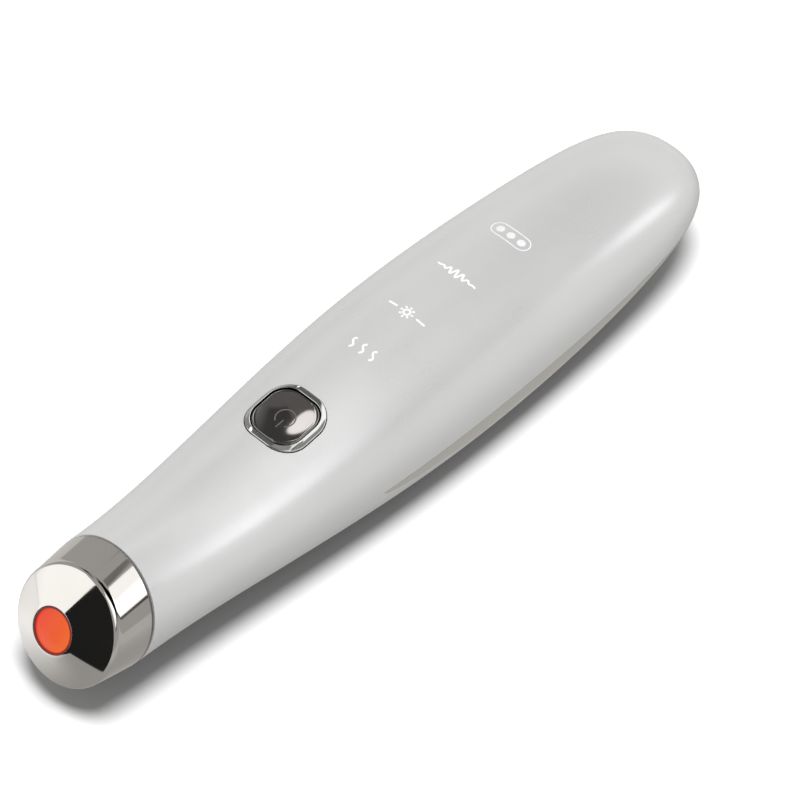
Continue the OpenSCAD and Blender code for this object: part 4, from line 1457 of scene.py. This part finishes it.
@dataclass
class Studio:
    """Floor, lamps, panels and the camera at the photograph's view."""
    azimuth: float = -49.604
    elevation: float = 49.346
    roll: float = 3.402
    away: float = 665.1
    aim_x: float = 62.7
    focal_px: float = 4405.0
    frame_px: float = 800.0
    sensor: float = 36.0
    side_step: float = 0.33
    down_step: float = -4.592
    fill: float = 0.86
    floor_tone: float = 0.33
    bounce_tone: float = 0.11
    sun: float = 8.6
    sun_width: float = 24.0
    sun_azimuth: float = -130.0
    sun_height: float = 85.0
    soft_box: float = 1.4
    soft_box_size: tuple[float, float] = (0.5, 0.25)
    soft_box_at: tuple[float, float, float] = (-78.0, 70.0, 0.5)
    floor_half: float = 3.0
    table_from: float = -0.06
    table_to: float = 0.06
    # grey levels of the painted shadow that mirrors see on the floor, across from table_from to
    # table_to
    painted_shadow_tones: tuple[tuple[float, float], ...] = (
        (0.0, 0.43), (0.3, 0.33), (0.5, 0.30), (0.56, 0.38), (0.7, 0.46), (0.95, 0.50))
    table_glow: float = 1.5
    button_at: tuple[float, float, float] = (-0.0198, 0.0, 0.0227)

    def axes(self) -> tuple[Vector, Vector, Vector]:
        """The camera's right, up and backward directions.

        Returns:
            The three unit vectors.
        """
        az, el, ro = (math.radians(v) for v in (self.azimuth, self.elevation, self.roll))
        back = Vector((math.sin(az) * math.cos(el), -math.cos(az) * math.cos(el), math.sin(el)))
        level = Vector((math.cos(az), math.sin(az), 0))
        up = back.cross(level)
        right = level * math.cos(ro) + up * math.sin(ro)
        return right, back.cross(right), back

    def camera(self) -> None:
        """Places the camera: aimed at the wand, stepped aside and away, with its roll."""
        right, up, back = self.axes()
        place = Vector(FORM.to_row(np.array([self.aim_x, 0.0, 0.0])))
        place += (right * self.side_step + up * self.down_step + back * self.away) * MM
        data = bpy.data.cameras.new("photo_camera")
        data.sensor_width = self.sensor
        data.lens = self.focal_px / self.frame_px * self.sensor
        data.clip_start = 0.01
        cam = bpy.data.objects.new("photo_camera", data)
        turn = Matrix((right, up, back)).transposed().to_4x4()
        cam.matrix_world = Matrix.Translation(place) @ turn
        bpy.context.scene.collection.objects.link(cam)
        bpy.context.scene.camera = cam

    def floor(self) -> bpy.types.Object:
        """A large floor that turns white under its own lamp and keeps the shadow.

        Mirrors see it as a table with a painted shadow: a glow that is pale on the far side of the
        wand and grey on the near side, where the wand stands between it and the light.

        Returns:
            The floor.
        """
        mesh = bpy.data.meshes.new("floor")
        s = self.floor_half
        mesh.from_pydata([(-s, -s, 0), (s, -s, 0), (s, s, 0), (-s, s, 0)], [], [(0, 1, 2, 3)])
        obj = bpy.data.objects.new("floor", mesh)
        bpy.context.scene.collection.objects.link(obj)
        mesh.materials.append(self.floor_material())
        return obj

    def floor_material(self) -> bpy.types.Material:
        """Diffuse to the camera and to diffuse light; to mirrors, a glowing ramp across with the
        wand's shadow painted in.

        Returns:
            The material.
        """
        made = bpy.data.materials.new("studio_floor")
        made.use_nodes = True
        tree = made.node_tree
        tree.nodes.clear()
        out = tree.nodes.new("ShaderNodeOutputMaterial")
        mix = tree.nodes.new("ShaderNodeMixShader")
        path = tree.nodes.new("ShaderNodeLightPath")
        plain = tree.nodes.new("ShaderNodeBsdfDiffuse")
        tone = tree.nodes.new("ShaderNodeMix")
        tone.data_type = "RGBA"
        tone.inputs["A"].default_value = (self.bounce_tone,) * 3 + (1.0,)
        tone.inputs["B"].default_value = (self.floor_tone,) * 3 + (1.0,)
        tree.links.new(path.outputs["Is Camera Ray"], tone.inputs["Factor"])
        tree.links.new(tone.outputs["Result"], plain.inputs["Color"])

        # painted shadow for mirrors: a glow across the floor, darkest under the wand and grey on
        # its near side
        place = tree.nodes.new("ShaderNodeTexCoord")
        split = tree.nodes.new("ShaderNodeSeparateXYZ")
        across = tree.nodes.new("ShaderNodeMapRange")
        across.inputs["From Min"].default_value = self.table_from
        across.inputs["From Max"].default_value = self.table_to
        ramp = tree.nodes.new("ShaderNodeValToRGB")
        stops = ramp.color_ramp.elements
        while len(stops) < len(self.painted_shadow_tones):
            stops.new(0.5)
        for stop, (at, grey) in zip(stops, self.painted_shadow_tones):
            stop.position = at
            stop.color = (grey, grey * 0.99, grey * 0.97, 1.0)
        seen = tree.nodes.new("ShaderNodeEmission")
        seen.inputs["Strength"].default_value = self.table_glow
        tree.links.new(place.outputs["Object"], split.inputs["Vector"])
        tree.links.new(split.outputs["Y"], across.inputs["Value"])
        tree.links.new(across.outputs["Result"], ramp.inputs["Fac"])
        tree.links.new(ramp.outputs["Color"], seen.inputs["Color"])
        tree.links.new(path.outputs["Is Glossy Ray"], mix.inputs["Fac"])
        tree.links.new(plain.outputs["BSDF"], mix.inputs[1])
        tree.links.new(seen.outputs["Emission"], mix.inputs[2])
        tree.links.new(mix.outputs["Shader"], out.inputs["Surface"])
        return made

    def world(self) -> None:
        """An even pale surround, white where the camera sees it."""
        world = bpy.data.worlds.new("studio")
        bpy.context.scene.world = world
        world.use_nodes = True
        tree = world.node_tree
        back = tree.nodes["Background"]
        back.inputs["Color"].default_value = (1.0, 1.0, 1.0, 1.0)
        path = tree.nodes.new("ShaderNodeLightPath")
        level = tree.nodes.new("ShaderNodeMapRange")
        level.inputs["To Min"].default_value = self.fill
        level.inputs["To Max"].default_value = 1.0
        tree.links.new(path.outputs["Is Camera Ray"], level.inputs["Value"])
        tree.links.new(level.outputs["Result"], back.inputs["Strength"])

    def lamps(self, floor: bpy.types.Object) -> None:
        """A soft box over the near shoulder and, for the floor alone, a lamp behind.

        Args:
            floor: the floor, the only thing that the lamp behind lights.
        """
        def only(data: bpy.types.Light, name: str, skip: bool) -> bpy.types.Object:
            """A lamp that lights the floor only, or everything else.

            Args:
                data: the lamp's light.
                name: its name.
                skip: leaves the floor out instead.

            Returns:
                The lamp.
            """
            lamp = bpy.data.objects.new(name, data)
            bpy.context.scene.collection.objects.link(lamp)
            group = bpy.data.collections.new(f"{name}_lights")
            group.objects.link(floor)
            if skip:
                group.collection_objects[0].light_linking.link_state = "EXCLUDE"
            lamp.light_linking.receiver_collection = group
            return lamp

        data = bpy.data.lights.new("floor_lamp", "SUN")
        data.energy, data.angle = self.sun, math.radians(self.sun_width)
        lamp = only(data, "floor_lamp", False)
        lamp.rotation_euler = (0.0, math.radians(90 - self.sun_height),
                               math.radians(self.sun_azimuth))
        data = bpy.data.lights.new("soft_box", "AREA")
        data.shape = "RECTANGLE"
        data.size, data.size_y = self.soft_box_size
        data.energy = self.soft_box
        lamp = only(data, "soft_box", True)
        lamp.visible_glossy = False
        az, el, away = self.soft_box_at
        az, el = math.radians(az), math.radians(el)
        aim = Vector((math.cos(el) * math.cos(az), math.cos(el) * math.sin(az), math.sin(el)))
        lamp.location = aim * away
        lamp.rotation_euler = aim.to_track_quat("Z", "X").to_euler()

    def panels(self) -> tuple[Panel, ...]:
        """The mirrors' surroundings: a warm grey room with white and black panels.

        Returns:
            The panels, the room first.
        """
        sharp, cool = (0.01, 0.01, 0.01, 0.01), (0.95, 0.96, 1.0)
        button = ("button_rim", "button_face")
        return (
            Panel("room", (-180, 180), (-0.8, 90), 0.5, sharp, away=0.9, tint=(1.0, 0.985, 0.96)),
            Panel("front_table", (84, 205), (-62, -6), 1.35, fade=(26, 60, 34, 0.5), rise=0.0002),
            Panel("front_panel", (98, 159), (-7, 64), 1.6, fade=(14, 0.5, 2, 3)),
            Panel("front_flag", (159, 213), (-19, 66), 0.02, fade=(0.3, 0.5, 0.5, 2), rise=0.0006),
            Panel("side_panel", (-115, -34), (29, 76), 1.6, fade=(8, 6, 0.8, 1.5)),
            Panel("side_core", (-80, -38), (31, 58), 3.0, fade=(8, 8, 3, 8), away=0.58, tint=cool),
            Panel("side_flag", (-115, -34), (24, 29), 0.1, fade=(2, 2, 1, 0.3)),
            Panel("top_flag", (-112, 20), (76, 79.5), 0.2, fade=(2, 2, 1, 1)),
            Panel("ridge_flag", (24, 58), (28, 68), 0.22, fade=(10, 3, 6, 4)),
            Panel("tail_panel", (-46, -25), (18, 38), 3.2, fade=(5, 5, 4, 4), tint=cool,
                  about=(0.05, 0.0, 0.013)),
            Panel("rim_panel", (-75, 32), (10, 72), 2.0, fade=(5, 24, 5, 5), away=0.12,
                  about=self.button_at, only=button),
            Panel("button_panel", (53, 82), (37, 63), 5.0, away=0.12,
                  about=self.button_at, oval=(0.3, 0.52), only=button),
        )

    def build(self) -> None:
        """Makes the stage."""
        self.camera()
        floor = self.floor()
        self.world()
        self.lamps(floor)
        for panel in self.panels():
            panel.build()
        view = bpy.context.scene.view_settings
        view.view_transform = "Standard"


def dress_nodes() -> None:
    """Gives every CAD node its procedural finish; those that a piece replaces take pearl."""
    for name, obj in frame["nodes"].items():
        NODE_FINISHES.get(name, PEARL).dress(obj)
        log.info("%s is dressed", name)


def main() -> None:
    """Builds the sub-assemblies in order and settles every piece."""
    logging.basicConfig(level=logging.INFO, format="%(name)s: %(message)s")
    dress_nodes()
    button = Button()
    for part in (Shells().build(button), Trim().build(), Head().build(), button.build(),
                 Marks().build()):
        for piece in part:
            piece.settle()
    Studio().build()


if __name__ == "__main__":
    main()
